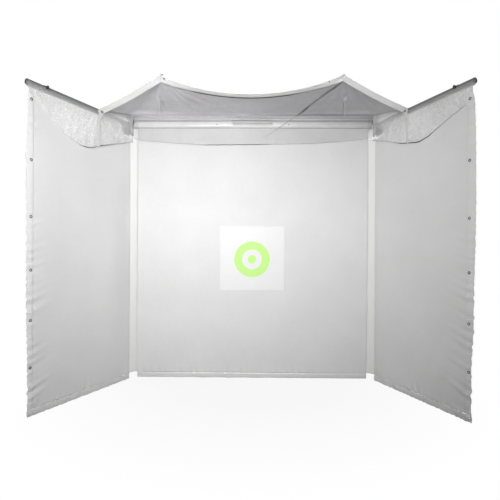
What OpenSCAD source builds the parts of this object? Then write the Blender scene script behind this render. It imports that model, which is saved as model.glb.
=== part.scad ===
// Ceiling-hung golf hitting screen that rolls up into a head unit, with two swing-out
// arms that carry side wings, and a net slung below the ceiling in front of it.
// X runs along the head unit, Y points from the player to the screen, Z is up.
// Z = 0 is the ceiling and Y = 0 the line of the two hangers.

/* [Overall] */
// Ceiling to the lower hem of the screen and wings
drop = 2920; // [2750:10:3200]
// Ceiling to the top of the head beam
beam_drop = 145; // [135:1:150]

/* [Head unit] */
// How far the head beam overhangs the case at each end
beam_over = 80; // [60:1:150]
// Length of the case below the beam, over its end plates
case_len = 2500; // [2200:10:2900]
// Depth of the beam from front to back
case_d = 150; // [146:1:170]
// Height of the beam's side walls
beam_h = 67; // [66:1:75]
// Wall of the beam
beam_wall = 4; // [3:0.5:5]
// Height of each front rail
rail_h = 8; // [5:0.5:10]
// How far the front rails stand out
rail_out = 12; // [6:1:16]
// Centre of the upper rail below the beam's top
rail_upper = 32; // [28:0.5:35]
// Centre of the lower rail below the beam's top
rail_lower = 62; // [60:0.5:66]
// Radius of the rounded front fascia
fascia_r = 32; // [30:1:34]
// Wall of the fascia
fascia_wall = 3; // [2:0.5:4]
// Axis of the fascia's round below the beam's top
fascia_drop = 115; // [110:1:118]
// Length of the joint plate that shows between the fascia halves
joint_plate_len = 418; // [200:2:600]
// Distance from the middle to each fascia screw
fascia_screw_x = 377; // [340:1:420]
// Underside of the case below the beam's top
case_h = 155; // [150:1:165]
// Wall of the rear cover
cover_wall = 3; // [2:0.5:4]
// Thickness of the end plates
end_plate_t = 5; // [4:0.5:8]
// Height of the hanger channel on the beam
channel_h = 14; // [12:1:18]
// Width of the hanger channel
channel_w = 40; // [36:1:46]

/* [Hangers] */
// Distance between the two hangers
hanger_span = 1940; // [1400:10:2200]
// Length of each ceiling plate
plate_len = 90; // [80:1:120]
// Width of each ceiling plate
plate_w = 40; // [36:1:60]
// Thickness of the ceiling plates
plate_t = 5; // [4:0.5:8]
// Distance between the screw holes of a ceiling plate
plate_hole_span = 60; // [50:1:70]
// Radius of the screw holes in the ceiling plates
plate_hole_r = 3.25; // [2.5:0.25:4]
// Mean radius of the rings on plate, rod and clip
eye_r = 9; // [8:0.5:11]
// Radius of the hanger wire
wire_r = 2.5; // [2:0.25:3]

/* [Roller] */
// Outer radius of the roller tube
roller_r = 35; // [32:0.5:38]
// Wall of the roller tube
roller_wall = 2; // [1.5:0.5:3]
// Thickness of the turns that stay on the roller
wrap_t = 5.4; // [3:0.2:7]
// Axis of the roller below the beam's top
roller_drop = 77; // [74:1:82]
// Axis of the roller behind the hanger line
roller_y = -8; // [-12:1:-6]
// Radius of the tubular motor
motor_r = 27; // [24:1:29]
// Length of the tubular motor
motor_len = 455; // [300:5:600]
// Radius of the fixed pin at the idler end
idler_pin_r = 8; // [6:0.5:10]
// Radius of the cable gland's thread
gland_r = 9; // [8:0.5:11]
// Radius of the cable gland's bore
gland_bore = 3.75; // [3:0.25:4.5]

/* [Screen] */
// End of the case to the edge of the back screen
screen_margin = 35; // [32:1:150]
// Thickness of the screen cloth
screen_t = 1.6; // [1.2:0.2:2.4]
// Height of the hems
hem_h = 52; // [44:1:64]
// Thickness of the screen's bottom hem
hem_t = 16; // [14:1:20]
// Side of the square target patch
patch_w = 690; // [400:10:900]
// Centre of the target patch below the ceiling
patch_drop = 1661; // [1400:1:1900]
// Thickness of the target patch
patch_t = 2; // [1:0.5:4]

/* [Arms] */
// End of the case to each arm's hinge axis
hinge_out = 26; // [24:1:30]
// Hinge axis in front of the case's front face
pivot_out = 33; // [32:1:40]
// Arm axis below the ceiling
arm_drop = 280; // [276:1:290]
// Outer radius of the arm tubes
arm_r = 23; // [20:0.5:24]
// Wall of the arm tubes
arm_wall = 2; // [1.5:0.5:3]
// Hinge axis to the arm's outer end
arm_len = 1160; // [1040:5:1200]
// Length of the arm's outer piece beyond its joint
arm_tip = 155; // [150:5:300]
// Splay of the left arm from straight forward
left_splay = 25; // [10:0.5:40]
// Splay of the right arm from straight forward
right_splay = 22; // [10:0.5:40]
// Radius of the hinge pins
hinge_pin_r = 6; // [5:0.5:8]
// Radius of the hinge knuckles
knuckle_r = 16; // [14:0.5:18]
// Height of the hinge knuckles
knuckle_h = 60; // [56:1:66]
// Thickness of the hinge brackets
bracket_t = 8; // [6:0.5:10]
// How far a bracket's web reaches below its lower ear
web_drop = 62; // [10:1:90]
// Radius of the lock knobs
knob_r = 16; // [10:0.5:20]
// Thickness of the gusset below each arm's root
gusset_t = 6; // [4:0.5:10]
// Tilt of the lock knobs above the horizontal
knob_tilt = 10; // [5:5:70]

/* [Wings] */
// Thickness of the wing cloth
wing_t = 3; // [2:0.5:4]
// Height of the stitched band below each arm
band_h = 48; // [40:1:60]
// Width of the gathered outer hem
outer_hem_w = 42; // [34:1:50]
// Arm end to the wing's outer edge
wing_inset = 18; // [12:1:40]
// Depth of the soft folds in the wings
fold = 5; // [2:0.5:8]
// Distance between the two top grommets
grommet_pitch = 480; // [380:5:490]
// Each grommet distance as a share of the one above
grommet_ratio = 0.94; // [0.85:0.01:0.95]
// Top grommet below the ceiling
grommet_top = 405; // [380:1:430]
// Outer radius of the grommets
grommet_r = 12; // [9:0.5:15]

/* [Net] */
// Distance between the net's two ceiling hooks
net_span = 1650; // [1400:10:2000]
// Net hooks in front of the hanger line
net_reach = 663; // [500:1:800]
// Sag of the front hem between the ceiling hooks
net_sag = 150; // [60:5:200]
// Width of the webbing hem
hem_band = 50; // [35:1:60]
// Width of the seam tape down each side net
tape_w = 30; // [16:1:40]
// Hinge axis to the strap on the left arm
left_strap = 387; // [300:1:500]
// Hinge axis to the strap on the right arm
right_strap = 434; // [300:1:500]
// Side net's lower edge below the arm at the hinge
side_rear_drop = 160; // [120:5:200]
// Side net's lower edge below the arm at the strap
side_strap_drop = 335; // [250:5:450]
// Lowest point of the side net below the arm
side_low_drop = 368; // [250:2:500]
// Strap to the lowest point of the side net
side_low_out = 190; // [50:5:300]
// Side net's lower edge below the arm at its outer end
side_end_drop = 125; // [95:5:250]
// Depth of the front net below the fascia, at its middle
skirt_h = 172; // [110:1:180]
// How much shorter that net is at its ends
skirt_rise = 40; // [0:1:60]
// Thickness of the net
net_t = 2; // [1:0.5:3]

/* [Hidden] */
$fn = 64;
gap = 0.3;
pin_gap = 0.05;
beam_z = -beam_drop;
front_y = -case_d / 2;
back_y = case_d / 2;
beam_low = beam_z - beam_h;
case_low = beam_z - case_h;
fascia_y = front_y + fascia_r;
fascia_z = beam_z - fascia_drop;
roller_z = beam_z - roller_drop;
wrap_r = roller_r + gap + wrap_t;
screen_y = roller_y - wrap_r - gap - screen_t / 2;
slot_half = 7;
end_x = case_len / 2;
beam_x = end_x + beam_over;
inner_x = end_x - end_plate_t;
screen_x = end_x - screen_margin;
bottom = -drop;
pivot_x = end_x + hinge_out;
pivot_y = front_y - pivot_out;
arm_z = -arm_drop;
arm_joint = arm_len - arm_tip;
rail_bore = 4.5;
rail_boss = 6.5;
rail_z = arm_z - arm_r - 4.5;
band_top = rail_z - rail_boss - 2;
cloth_top = band_top - band_h - gap;
wing_end = arm_len - wing_inset;
wing_in = 3;
notch_w = 135;
notch_low = arm_z - 145;
notch_rise = (cloth_top - notch_low) / 2;
knuckle_low = arm_z - knuckle_h / 2;
knuckle_top = arm_z + knuckle_h / 2;
flange_x = 30;
flange_t = 8;
neck = 3;
eye_top = -plate_t - neck - eye_r - wire_r;
link = 2 * wire_r + gap;
rod_top = eye_top - 2 * eye_r + link;
clip_low = beam_z + channel_h;
clip_top = clip_low + 4;
clip_eye = clip_top + neck + eye_r + wire_r;
rod_low = clip_eye + 2 * eye_r - link;
channel_wall = 3;
roof_x = pivot_x - knuckle_r - 5;
skirt_x = inner_x - 25;
rail_front = front_y - rail_out - gap;
roof_low = beam_z - rail_upper - net_t / 2;
skirt_out = 4.3;
skirt_back = 5;
hook_z = -27;
hinge_screw_z = beam_z - (rail_upper + rail_lower) / 2;
gland_y = 38;
gland_z = beam_z - 122;
gland_len = 25;
tube_x = inner_x - 16;
hem_x = screen_x - 15;
strip_gap = 1.2;
strip_back = 2.3;
strap_half = 24;
strap_t = 2;
tape_t = 1.4;
tape_rise = 8;
side_inset = outer_hem_w + 4;
fold_sweeps = 540;
hook_r = 7;
hook_wire = 2;
hook_disc_r = 15;
hook_disc_t = 4;
hook_hole_r = 2;
hook_hole_span = 20;

// ---------------------------------------------------------------- helpers

// Extrudes a (Y, Z) outline along X from x0 to x1
module along_x(x0, x1) {
    translate([x0, 0, 0]) rotate([90, 0, 90]) linear_extrude(x1 - x0) children();
}

// Cylinder along X
module rod_x(r, x0, x1) {
    translate([x0, 0, 0]) rotate([0, 90, 0]) cylinder(r = r, h = x1 - x0);
}

// Box given by its lowest and highest corners
module block(low, high) {
    translate(low) cube(high - low);
}

// Draws its child for the left side (-1) or the right side (1)
module sided(side) {
    if (side < 0) children();
    else mirror([1, 0, 0]) children();
}

function splay(side) = side < 0 ? left_splay : right_splay;
function strap_at(side) = side < 0 ? left_strap : right_strap;

// Places a child that lies along +X from the hinge axis, inner side towards +Y
module on_arm(side) {
    sided(side) translate([-pivot_x, pivot_y, 0]) rotate([0, 0, 270 - splay(side)]) children();
}

// Point in the part's frame of a point (x along the arm, n to its inner side, z)
function arm_point(side, x, n, z) = [
    side * (pivot_x + x * sin(splay(side)) - n * cos(splay(side))),
    pivot_y - x * cos(splay(side)) - n * sin(splay(side)),
    z];

function dot(a, b) = a[0] * b[0] + a[1] * b[1] + a[2] * b[2];
function unit(a) = a / norm(a);

// Closed sheet between a grid of points (rows of equal length) and its copy moved by off
module sheet(rows, off) {
    m = len(rows);
    n = len(rows[0]);
    count = m * n;
    points = [for (row = rows, p = row) p, for (row = rows, p = row) p + off];
    turn = dot(cross(rows[0][1] - rows[0][0], rows[1][0] - rows[0][0]), off) > 0;
    quads = [
        for (j = [0 : m - 2], i = [0 : n - 2])
            [j * n + i, (j + 1) * n + i, (j + 1) * n + i + 1, j * n + i + 1],
        for (j = [0 : m - 2], i = [0 : n - 2])
            [count + j * n + i, count + j * n + i + 1,
             count + (j + 1) * n + i + 1, count + (j + 1) * n + i],
        for (i = [0 : n - 2])
            [i, i + 1, count + i + 1, count + i],
        for (i = [0 : n - 2])
            [(m - 1) * n + i + 1, (m - 1) * n + i,
             count + (m - 1) * n + i, count + (m - 1) * n + i + 1],
        for (j = [0 : m - 2])
            [(j + 1) * n, j * n, count + j * n, count + (j + 1) * n],
        for (j = [0 : m - 2])
            [j * n + n - 1, (j + 1) * n + n - 1,
             count + (j + 1) * n + n - 1, count + j * n + n - 1]];
    tris = [for (q = quads) each [[q[0], q[1], q[2]], [q[0], q[2], q[3]]]];
    polyhedron(points, turn ? [for (t = tris) [t[2], t[1], t[0]]] : tris);
}

// ---------------------------------------------------------------- head unit

module beam_outline() {
    difference() {
        union() {
            translate([front_y, beam_low]) square([case_d, beam_h]);
            for (d = [rail_upper, rail_lower])
                translate([front_y - rail_out + rail_h / 2, beam_z - d]) {
                    circle(d = rail_h);
                    translate([0, -rail_h / 2]) square([rail_out, rail_h]);
                }
            translate([-channel_w / 2, beam_z - 1]) square([channel_w, channel_h + 1]);
        }
        translate([front_y + beam_wall, beam_low - 1])
            square([case_d - 2 * beam_wall, beam_h + 1 - beam_wall]);
        translate([-channel_w / 2 + channel_wall, beam_z])
            square([channel_w - 2 * channel_wall, channel_h - channel_wall]);
        translate([-channel_w / 4, beam_z]) square([channel_w / 2, channel_h + 1]);
    }
}

module hinge_screw_holes(r, y0, y1) {
    for (side = [-1, 1], x = [pivot_x - 8, pivot_x + 22])
        translate([side * x, y0, hinge_screw_z]) rotate([-90, 0, 0]) cylinder(r = r, h = y1 - y0);
}

module head_beam() {
    color("silver") difference() {
        along_x(-beam_x, beam_x) beam_outline();
        hinge_screw_holes(3.1, front_y - 1, front_y + beam_wall + 1);
    }
}

// Rounded front skin, with the tongue that goes up behind the beam's front wall
module fascia_outline() {
    difference() {
        union() {
            translate([fascia_y, fascia_z]) circle(fascia_r);
            translate([front_y + beam_wall + gap, fascia_z + 10])
                square([fascia_wall, beam_low + 12 - fascia_z - 10]);
        }
        translate([fascia_y, fascia_z]) circle(fascia_r - fascia_wall);
        translate([screen_y - slot_half, case_low - 10]) square([case_d, case_h]);
    }
}

module fascia_screw_holes(r) {
    for (side = [-1, 1])
        translate([side * fascia_screw_x, front_y - 5, fascia_z])
            rotate([-90, 0, 0]) cylinder(r = r, h = 20);
}

module fascia(side) {
    color("gainsboro") difference() {
        sided(side) along_x(-inner_x + gap, -joint_plate_len / 2) fascia_outline();
        fascia_screw_holes(2.7);
    }
}

// Flat-faced sleeve inside the two fascia halves
module fascia_joint_plate() {
    r = fascia_r - fascia_wall - gap;
    color("lightgray") difference() {
        along_x(-fascia_screw_x - 23, fascia_screw_x + 23) difference() {
            intersection() {
                translate([fascia_y, fascia_z]) circle(r);
                translate([front_y + 7, fascia_z - r])
                    square([screen_y - slot_half - front_y - 7, 2 * r]);
            }
            intersection() {
                translate([fascia_y, fascia_z]) circle(r - 3);
                translate([front_y + 10, fascia_z - r]) square([fascia_r, 2 * r]);
            }
        }
        fascia_screw_holes(2.7);
    }
}

module fascia_screws() {
    color("dimgray") for (side = [-1, 1])
        translate([side * fascia_screw_x, front_y - gap, fascia_z]) {
            rotate([90, 0, 0]) cylinder(r = 5.5, h = 2.5);
            rotate([-90, 0, 0]) cylinder(r = 2.6, h = 14);
        }
}

// Rear wall, floor and the lip behind the screen's slot
module rear_cover() {
    wall_y = back_y - beam_wall - gap;
    lip_y = screen_y + slot_half;
    round_r = 14;
    color("silver") along_x(-inner_x + gap, inner_x - gap) difference() {
        union() {
            translate([wall_y - cover_wall, case_low + round_r])
                square([cover_wall, beam_low + 12 - case_low - round_r]);
            translate([lip_y, case_low]) square([wall_y - round_r - lip_y, cover_wall]);
            translate([lip_y, case_low]) square([cover_wall, 14]);
            intersection() {
                translate([wall_y - round_r, case_low + round_r]) difference() {
                    circle(round_r);
                    circle(round_r - cover_wall);
                }
                translate([wall_y - round_r, case_low]) square(round_r);
            }
        }
        translate([lip_y - 1, case_low - 1]) square([1, 1]);
    }
}

module end_plate(side) {
    low_y = front_y + beam_wall + gap + fascia_wall + gap;
    color("slategray") difference() {
        sided(side) along_x(-end_x, -inner_x) union() {
            translate([low_y, case_low])
                square([back_y - beam_wall - gap - low_y, case_h - beam_wall - gap]);
            translate([fascia_y, fascia_z]) circle(fascia_r);
        }
        if (side < 0)
            translate([0, roller_y, roller_z]) rod_x(idler_pin_r, -end_x - 1, -inner_x + 1);
        if (side > 0)
            translate([0, gland_y, gland_z]) rod_x(gland_r + 0.1, inner_x - 1, end_x + 1);
    }
}

// Cable entry with a hexagon head outside the end plate and a nut inside
module power_gland() {
    head = 6;
    nut = 8;
    color("black") translate([0, gland_y, gland_z]) difference() {
        union() {
            rod_x(gland_r, inner_x - gland_len, end_x + head);
            translate([end_x + gap, 0, 0]) rotate([0, 90, 0])
                cylinder(r = gland_r + 4, h = head - gap, $fn = 6);
            translate([inner_x - nut, 0, 0]) rotate([0, 90, 0])
                cylinder(r = gland_r + 4, h = nut - gap, $fn = 6);
        }
        rod_x(gland_bore, inner_x - gland_len - 1, end_x + head + 1);
    }
}

// ---------------------------------------------------------------- hangers

// Ring in the plane across X (turn = 0) or across Y (turn = 90)
module ring(r, wire, turn) {
    rotate([0, 0, turn]) rotate([0, 90, 0]) rotate_extrude() translate([r, 0]) circle(wire, $fn = 24);
}

module ceiling_plates() {
    color("gray") for (side = [-1, 1])
        translate([side * hanger_span / 2, 0, 0]) {
            difference() {
                block([-plate_w / 2, -plate_len / 2, -plate_t], [plate_w / 2, plate_len / 2, 0]);
                for (s = [-1, 1])
                    translate([0, s * plate_hole_span / 2, -plate_t - 1])
                        cylinder(r = plate_hole_r, h = plate_t + 2);
            }
            translate([0, 0, eye_top]) ring(eye_r, wire_r, 0);
            translate([0, 0, eye_top + eye_r]) cylinder(r = wire_r, h = -plate_t + 1 - eye_top - eye_r);
        }
}

module hanger_rods() {
    color("lightgray") for (side = [-1, 1])
        translate([side * hanger_span / 2, 0, 0]) {
            translate([0, 0, rod_top]) ring(eye_r, wire_r, 90);
            translate([0, 0, rod_low]) ring(eye_r, wire_r, 90);
            translate([0, 0, rod_low + eye_r]) cylinder(r = wire_r, h = rod_top - rod_low - 2 * eye_r);
        }
}

// Slider in the beam's channel, with a neck and a ring
module hanger_clips() {
    slot = channel_w / 2 - 2 * gap;
    foot = channel_w - 2 * channel_wall - 2 * gap;
    color("gray") for (side = [-1, 1])
        translate([side * hanger_span / 2, 0, 0]) {
            block([-30, -foot / 2, beam_z + gap], [30, foot / 2, clip_low - channel_wall - gap]);
            block([-20, -slot / 2, beam_z + gap], [20, slot / 2, clip_top]);
            translate([0, 0, clip_eye]) ring(eye_r, wire_r, 0);
            translate([0, 0, clip_top - 1]) cylinder(r = wire_r, h = clip_eye - eye_r - clip_top + 1);
        }
}

// ---------------------------------------------------------------- hinges

// Bracket with two ears round the hinge pin and a web behind the beam's front wall
module hinge_bracket(side) {
    web_y = front_y + beam_wall + gap;
    ear = knuckle_r + 2;
    web_low = knuckle_low - gap - bracket_t - web_drop;
    color("dimgray") difference() {
        sided(side) union() {
            for (z = [knuckle_top + gap, knuckle_low - gap - bracket_t])
                translate([-pivot_x, pivot_y, z]) linear_extrude(bracket_t) union() {
                    circle(ear);
                    translate([-ear, 0]) square([2 * ear, web_y + bracket_t - pivot_y]);
                }
            translate([-pivot_x, web_y + bracket_t, 0]) rotate([90, 0, 0]) linear_extrude(bracket_t)
                polygon([[-34, beam_z - beam_wall - gap], [-34, web_low + web_drop],
                    [ear - 22, web_low], [ear, web_low], [ear, beam_z - beam_wall - gap]]);
        }
        translate([side * pivot_x, pivot_y, knuckle_low - 20])
            cylinder(r = hinge_pin_r + pin_gap, h = knuckle_h + 40);
        hinge_screw_holes(3.1, web_y - 1, web_y + bracket_t + 1);
    }
}

module hinge_pins() {
    low = knuckle_low - 2 * gap - bracket_t;
    top = knuckle_top + 2 * gap + bracket_t;
    color("silver") for (side = [-1, 1])
        translate([side * pivot_x, pivot_y, 0]) {
            translate([0, 0, low - 8]) cylinder(r = hinge_pin_r, h = top - low + 9);
            translate([0, 0, top]) cylinder(r = hinge_pin_r + 4, h = 4);
            translate([0, 0, low - 6]) cylinder(r = hinge_pin_r + 4, h = 6, $fn = 6);
        }
}

module hinge_screws() {
    color("silver") union() {
        hinge_screw_holes(3, front_y - gap, front_y + beam_wall + bracket_t);
        hinge_screw_holes(6, front_y - gap - 3, front_y - gap);
    }
}

// ---------------------------------------------------------------- roller

module at_roller() {
    translate([0, roller_y, roller_z]) children();
}

module idler_pin() {
    color("silver") at_roller() rod_x(idler_pin_r - pin_gap, -end_x, -inner_x + 50);
}

// Motor tube with its head on the right end plate and its output bore on the left
module tubular_motor() {
    color("dimgray") at_roller() difference() {
        union() {
            rod_x(motor_r, inner_x - motor_len, inner_x - 30);
            rod_x(motor_r + 3, inner_x - 12, inner_x - gap);
            rod_x(motor_r - 6, inner_x - 31, inner_x - 11);
        }
        rod_x(6 + pin_gap, inner_x - motor_len - 1, inner_x - motor_len + 30);
    }
}

module roller_tube() {
    color("silver") at_roller() difference() {
        rod_x(roller_r, -tube_x, tube_x);
        rod_x(roller_r - roller_wall, -tube_x - 1, tube_x + 1);
    }
}

module idler_plug() {
    color("black") at_roller() difference() {
        rod_x(roller_r - roller_wall - pin_gap, -tube_x, -tube_x + 34);
        rod_x(16, -tube_x - 1, -tube_x + 12);
        rod_x(idler_pin_r + 1, -tube_x - 1, -tube_x + 35);
    }
}

module idler_bearing() {
    color("silver") at_roller() difference() {
        rod_x(16 - pin_gap, -tube_x + 1, -tube_x + 12);
        rod_x(idler_pin_r, -tube_x, -tube_x + 13);
    }
}

// Wheel that the motor's shaft turns, keyed into the roller tube
module drive_wheel() {
    color("black") at_roller() union() {
        rod_x(roller_r - roller_wall - pin_gap, inner_x - motor_len - 24, inner_x - motor_len - 6);
        rod_x(6, inner_x - motor_len - 7, inner_x - motor_len + 25);
    }
}

// Loose ring that carries the roller tube on the motor's head end
module crown_ring() {
    color("black") at_roller() difference() {
        rod_x(roller_r - roller_wall - pin_gap, tube_x - 26, tube_x - 16);
        rod_x(motor_r + pin_gap, tube_x - 27, tube_x - 15);
    }
}

module screen_wrap() {
    color("white") at_roller() difference() {
        rod_x(wrap_r, -screen_x, screen_x);
        rod_x(roller_r + gap, -screen_x - 1, screen_x + 1);
    }
}

// ---------------------------------------------------------------- screen

module screen_cloth() {
    color("white") block([-screen_x, screen_y - screen_t / 2, bottom + hem_h + gap],
        [screen_x, screen_y + screen_t / 2, roller_z]);
}

// Flat rounded tube of cloth round the stiffening bar
module hem_outline(shrink) {
    r = hem_t / 2 - shrink;
    for (z = [bottom + hem_t / 2, bottom + hem_h - hem_t / 2]) translate([screen_y, z]) circle(r);
    translate([screen_y - r, bottom + hem_t / 2]) square([2 * r, hem_h - hem_t]);
}

module screen_hem() {
    color("white") along_x(-hem_x, hem_x) difference() {
        hem_outline(0);
        hem_outline(3);
    }
}

module hem_bar() {
    color("silver") along_x(-hem_x, hem_x) hem_outline(3 + gap);
}

module target_patch() {
    y = screen_y - screen_t / 2 - gap;
    color("white") block([-patch_w / 2, y - patch_t, -patch_drop - patch_w / 2],
        [patch_w / 2, y, -patch_drop + patch_w / 2]);
}

// ---------------------------------------------------------------- arms

// Stiffener below the tube's inner end, cut parallel to the wing's corner
module gusset() {
    top = rail_z - rail_boss - gap;
    low = notch_low + 23;
    low_out = notch_low + notch_rise + 4;
    inner = knuckle_r + 4;
    polygon([[inner, arm_z - 19], [flange_x + 1, arm_z - 19], [flange_x + 1, top], [notch_w - 8, top],
        [notch_w - 8, low_out], [14, low], [14, knuckle_low - 22],
        [inner, knuckle_low - 22]]);
}

// Knuckle on the hinge pin and the spigot that fills the tube's inner end
module arm_root(side) {
    color("dimgray") on_arm(side) difference() {
        union() {
            translate([0, 0, knuckle_low]) cylinder(r = knuckle_r, h = knuckle_h);
            block([0, -12, arm_z - 20], [flange_x + 1, 12, arm_z + 20]);
            translate([0, 0, arm_z]) rod_x(arm_r, flange_x, flange_x + flange_t);
            translate([0, 0, arm_z]) rod_x(arm_r - arm_wall - gap, flange_x, flange_x + 65);
            translate([0, gusset_t / 2, 0]) rotate([90, 0, 0]) linear_extrude(gusset_t) gusset();
        }
        translate([0, 0, knuckle_low - 1]) cylinder(r = hinge_pin_r + pin_gap, h = knuckle_h + 2);
    }
}

// Round tube with a slotted rail below it for the wing's bead
module tube_outline() {
    difference() {
        union() {
            circle(arm_r);
            translate([0, rail_z - arm_z]) circle(rail_boss);
            translate([-rail_boss + 1, rail_z - arm_z]) square([2 * rail_boss - 2, 8]);
        }
        circle(arm_r - arm_wall);
        translate([0, rail_z - arm_z]) circle(rail_bore);
        translate([-1.7, rail_z - arm_z - 10]) square([3.4, 10]);
    }
}

module arm_tube(side) {
    color("darkgray") on_arm(side) translate([0, 0, arm_z])
        along_x(flange_x + flange_t, arm_joint) tube_outline();
}

module arm_end(side) {
    color("darkgray") on_arm(side) translate([0, 0, arm_z]) union() {
        along_x(arm_joint + gap, arm_len) tube_outline();
        rod_x(arm_r - arm_wall - gap, arm_joint - 80, arm_joint + 10);
        rod_x(arm_r - arm_wall, arm_joint + 1, arm_joint + 10);
    }
}

module arm_cap(side) {
    color("black") on_arm(side) translate([0, 0, arm_z]) union() {
        rod_x(arm_r, arm_len + gap, arm_len + 3);
        rod_x(arm_r - 2, arm_len + 2, arm_len + 4);
        rod_x(arm_r - arm_wall - gap, arm_len - 22, arm_len + 1);
    }
}

// Clamp pad over the tube's joint, on its upper inner side
module lock_saddle(side) {
    half = 22;
    wide = 14;
    color("darkgray") on_arm(side) translate([arm_joint, 0, arm_z]) rotate([knob_tilt, 0, 0])
        difference() {
            intersection() {
                rod_x(arm_r + 6, -half, half);
                block([-half, 12, -wide], [half, arm_r + 6, wide]);
            }
            rod_x(arm_r + gap, -half - 1, half + 1);
            translate([0, arm_r, 0]) rotate([-90, 0, 0]) cylinder(r = 4.05, h = 10);
        }
}

// Three-lobed hand knob with its screw
module lock_knob(side) {
    color("black") on_arm(side) translate([arm_joint, 0, arm_z]) rotate([knob_tilt - 90, 0, 0])
        union() {
            translate([0, 0, arm_r + gap]) cylinder(r = 4, h = 9);
            translate([0, 0, arm_r + 7]) cylinder(r = knob_r - 4, h = 14);
            for (a = [0, 120, 240])
                rotate([0, 0, a]) translate([knob_r - 5, 0, arm_r + 8]) cylinder(r = 5, h = 12);
        }
}

// ---------------------------------------------------------------- wings

// Stitched band with the bead that slides in the tube's rail
module wing_band(side) {
    color("white") on_arm(side) along_x(notch_w, wing_end) union() {
        translate([0, rail_z]) circle(rail_bore - gap);
        translate([-1.2, band_top - 1]) square([2.4, rail_z - band_top]);
        translate([-wing_t / 2, band_top - band_h]) square([wing_t, band_h]);
    }
}

// Inner edge of the wing, with its corner cut away below the hinge
function wing_edge(z) = wing_in
    + (notch_w - wing_in) * max(0, min(1, (z - notch_low) / notch_rise));
function wing_fold(x, z) =
    fold * sin(x / wing_end * fold_sweeps) * sin(180 * (z - cloth_top) / (bottom - cloth_top));

module wing_cloth(side) {
    low = bottom + hem_h + gap;
    right = wing_end - outer_hem_w - gap;
    columns = 10;
    rows = 10;
    heights = [cloth_top, (cloth_top + notch_low) / 2, notch_low,
        for (k = [1 : rows]) notch_low + (low - notch_low) * k / rows];
    color("white") on_arm(side) sheet([for (z = heights) [for (i = [0 : columns])
        let (x = wing_edge(z) + (right - wing_edge(z)) * i / columns)
        [x, wing_fold(x, z) - wing_t / 2, z]]], [0, wing_t, 0]);
}

function grommet_z(i) = -grommet_top
    - grommet_pitch * (i == 0 ? 0 : (1 - pow(grommet_ratio, i)) / (1 - min(grommet_ratio, 0.999)));

module grommet_holes(side, r, n0, n1) {
    on_arm(side) for (i = [0 : 5])
        translate([wing_end - outer_hem_w / 2, n0, grommet_z(i)])
            rotate([-90, 0, 0]) cylinder(r = r, h = n1 - n0, $fn = 32);
}

module wing_outer_hem(side) {
    color("white") difference() {
        on_arm(side) block([wing_end - outer_hem_w, -wing_t / 2 - 1, bottom + hem_h + gap],
            [wing_end, wing_t / 2 + 1, cloth_top]);
        grommet_holes(side, grommet_r - 4, -10, 10);
    }
}

module wing_bottom_hem(side) {
    color("white") on_arm(side) block([wing_in, -wing_t / 2 - 1, bottom],
        [wing_end, wing_t / 2 + 1, bottom + hem_h]);
}

// Barrels through the hem with a flange on each face
module wing_grommets(side) {
    face = wing_t / 2 + 1 + gap;
    color("gray") difference() {
        union() {
            grommet_holes(side, grommet_r, face, face + 1.4);
            grommet_holes(side, grommet_r, -face - 1.4, -face);
            grommet_holes(side, grommet_r - 4 - gap, -face - 0.5, face + 0.5);
        }
        grommet_holes(side, grommet_r - 6, -10, 10);
    }
}

// Upright strip across the corner, from the wing's inner edge to just short of the screen's edge
module corner_strip(side) {
    edge = [pivot_x - screen_x, screen_y - screen_t / 2 - pivot_y];
    turn = atan2(edge[1], edge[0]) - 270 + splay(side);
    reach = norm(edge) - strip_gap;
    low = bottom + hem_h + 8;
    color("white") on_arm(side) rotate([0, 0, turn])
        block([-strip_back, -wing_t / 2, low], [reach, wing_t / 2, notch_low - 15]);
}

// ---------------------------------------------------------------- net

// Front edge of the net: up from each arm to a ceiling hook, slack between the hooks
function front_hem(u) =
    let (top = arm_z + arm_r + 6,
        a = arm_point(-1, left_strap, 0, top),
        d = arm_point(1, right_strap, 0, top),
        b = [-net_span / 2, -net_reach, hook_z],
        c = [net_span / 2, -net_reach, hook_z])
    u < 0.25 ? a + (b - a) * u * 4 - [0, 0, 14 * sin(720 * u)]
    : u > 0.75 ? d + (c - d) * (1 - u) * 4 - [0, 0, 14 * sin(720 * (1 - u))]
    : let (t = (u - 0.25) * 2) b + (c - b) * t - [0, 0, net_sag * 4 * t * (1 - t)];

// Rear edge of the roof panel, along the upper front rail
function rear_edge(u) =
    [roof_x * front_hem(u)[0] / abs(front_hem(u < 0.5 ? 0 : 1)[0]),
     rail_front, roof_low + net_t];

function hem_inner(u) = front_hem(u) + hem_band * unit(rear_edge(u) - front_hem(u));

// Belly and long soft folds of the roof panel
function roof_point(u, v) =
    let (f = hem_inner(u), r = rear_edge(u), p = r + (f - r) * v)
    p - [0, 0, (34 * sin(180 * u) + 9 * sin(1440 * u)) * sin(180 * v)];

us = [for (k = [0 : 24]) k / 24];

module net_roof() {
    color([0.8, 0.8, 0.8, 0.6]) sheet([for (v = [0 : 0.125 : 1])
        [for (u = us) roof_point(u, min(v, 0.998))]], [0, 0, -net_t]);
}

module net_hem() {
    color("whitesmoke") sheet([[for (u = us) front_hem(u)], [for (u = us) hem_inner(u)]],
        [0, 0, -net_t - 1]);
}

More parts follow.
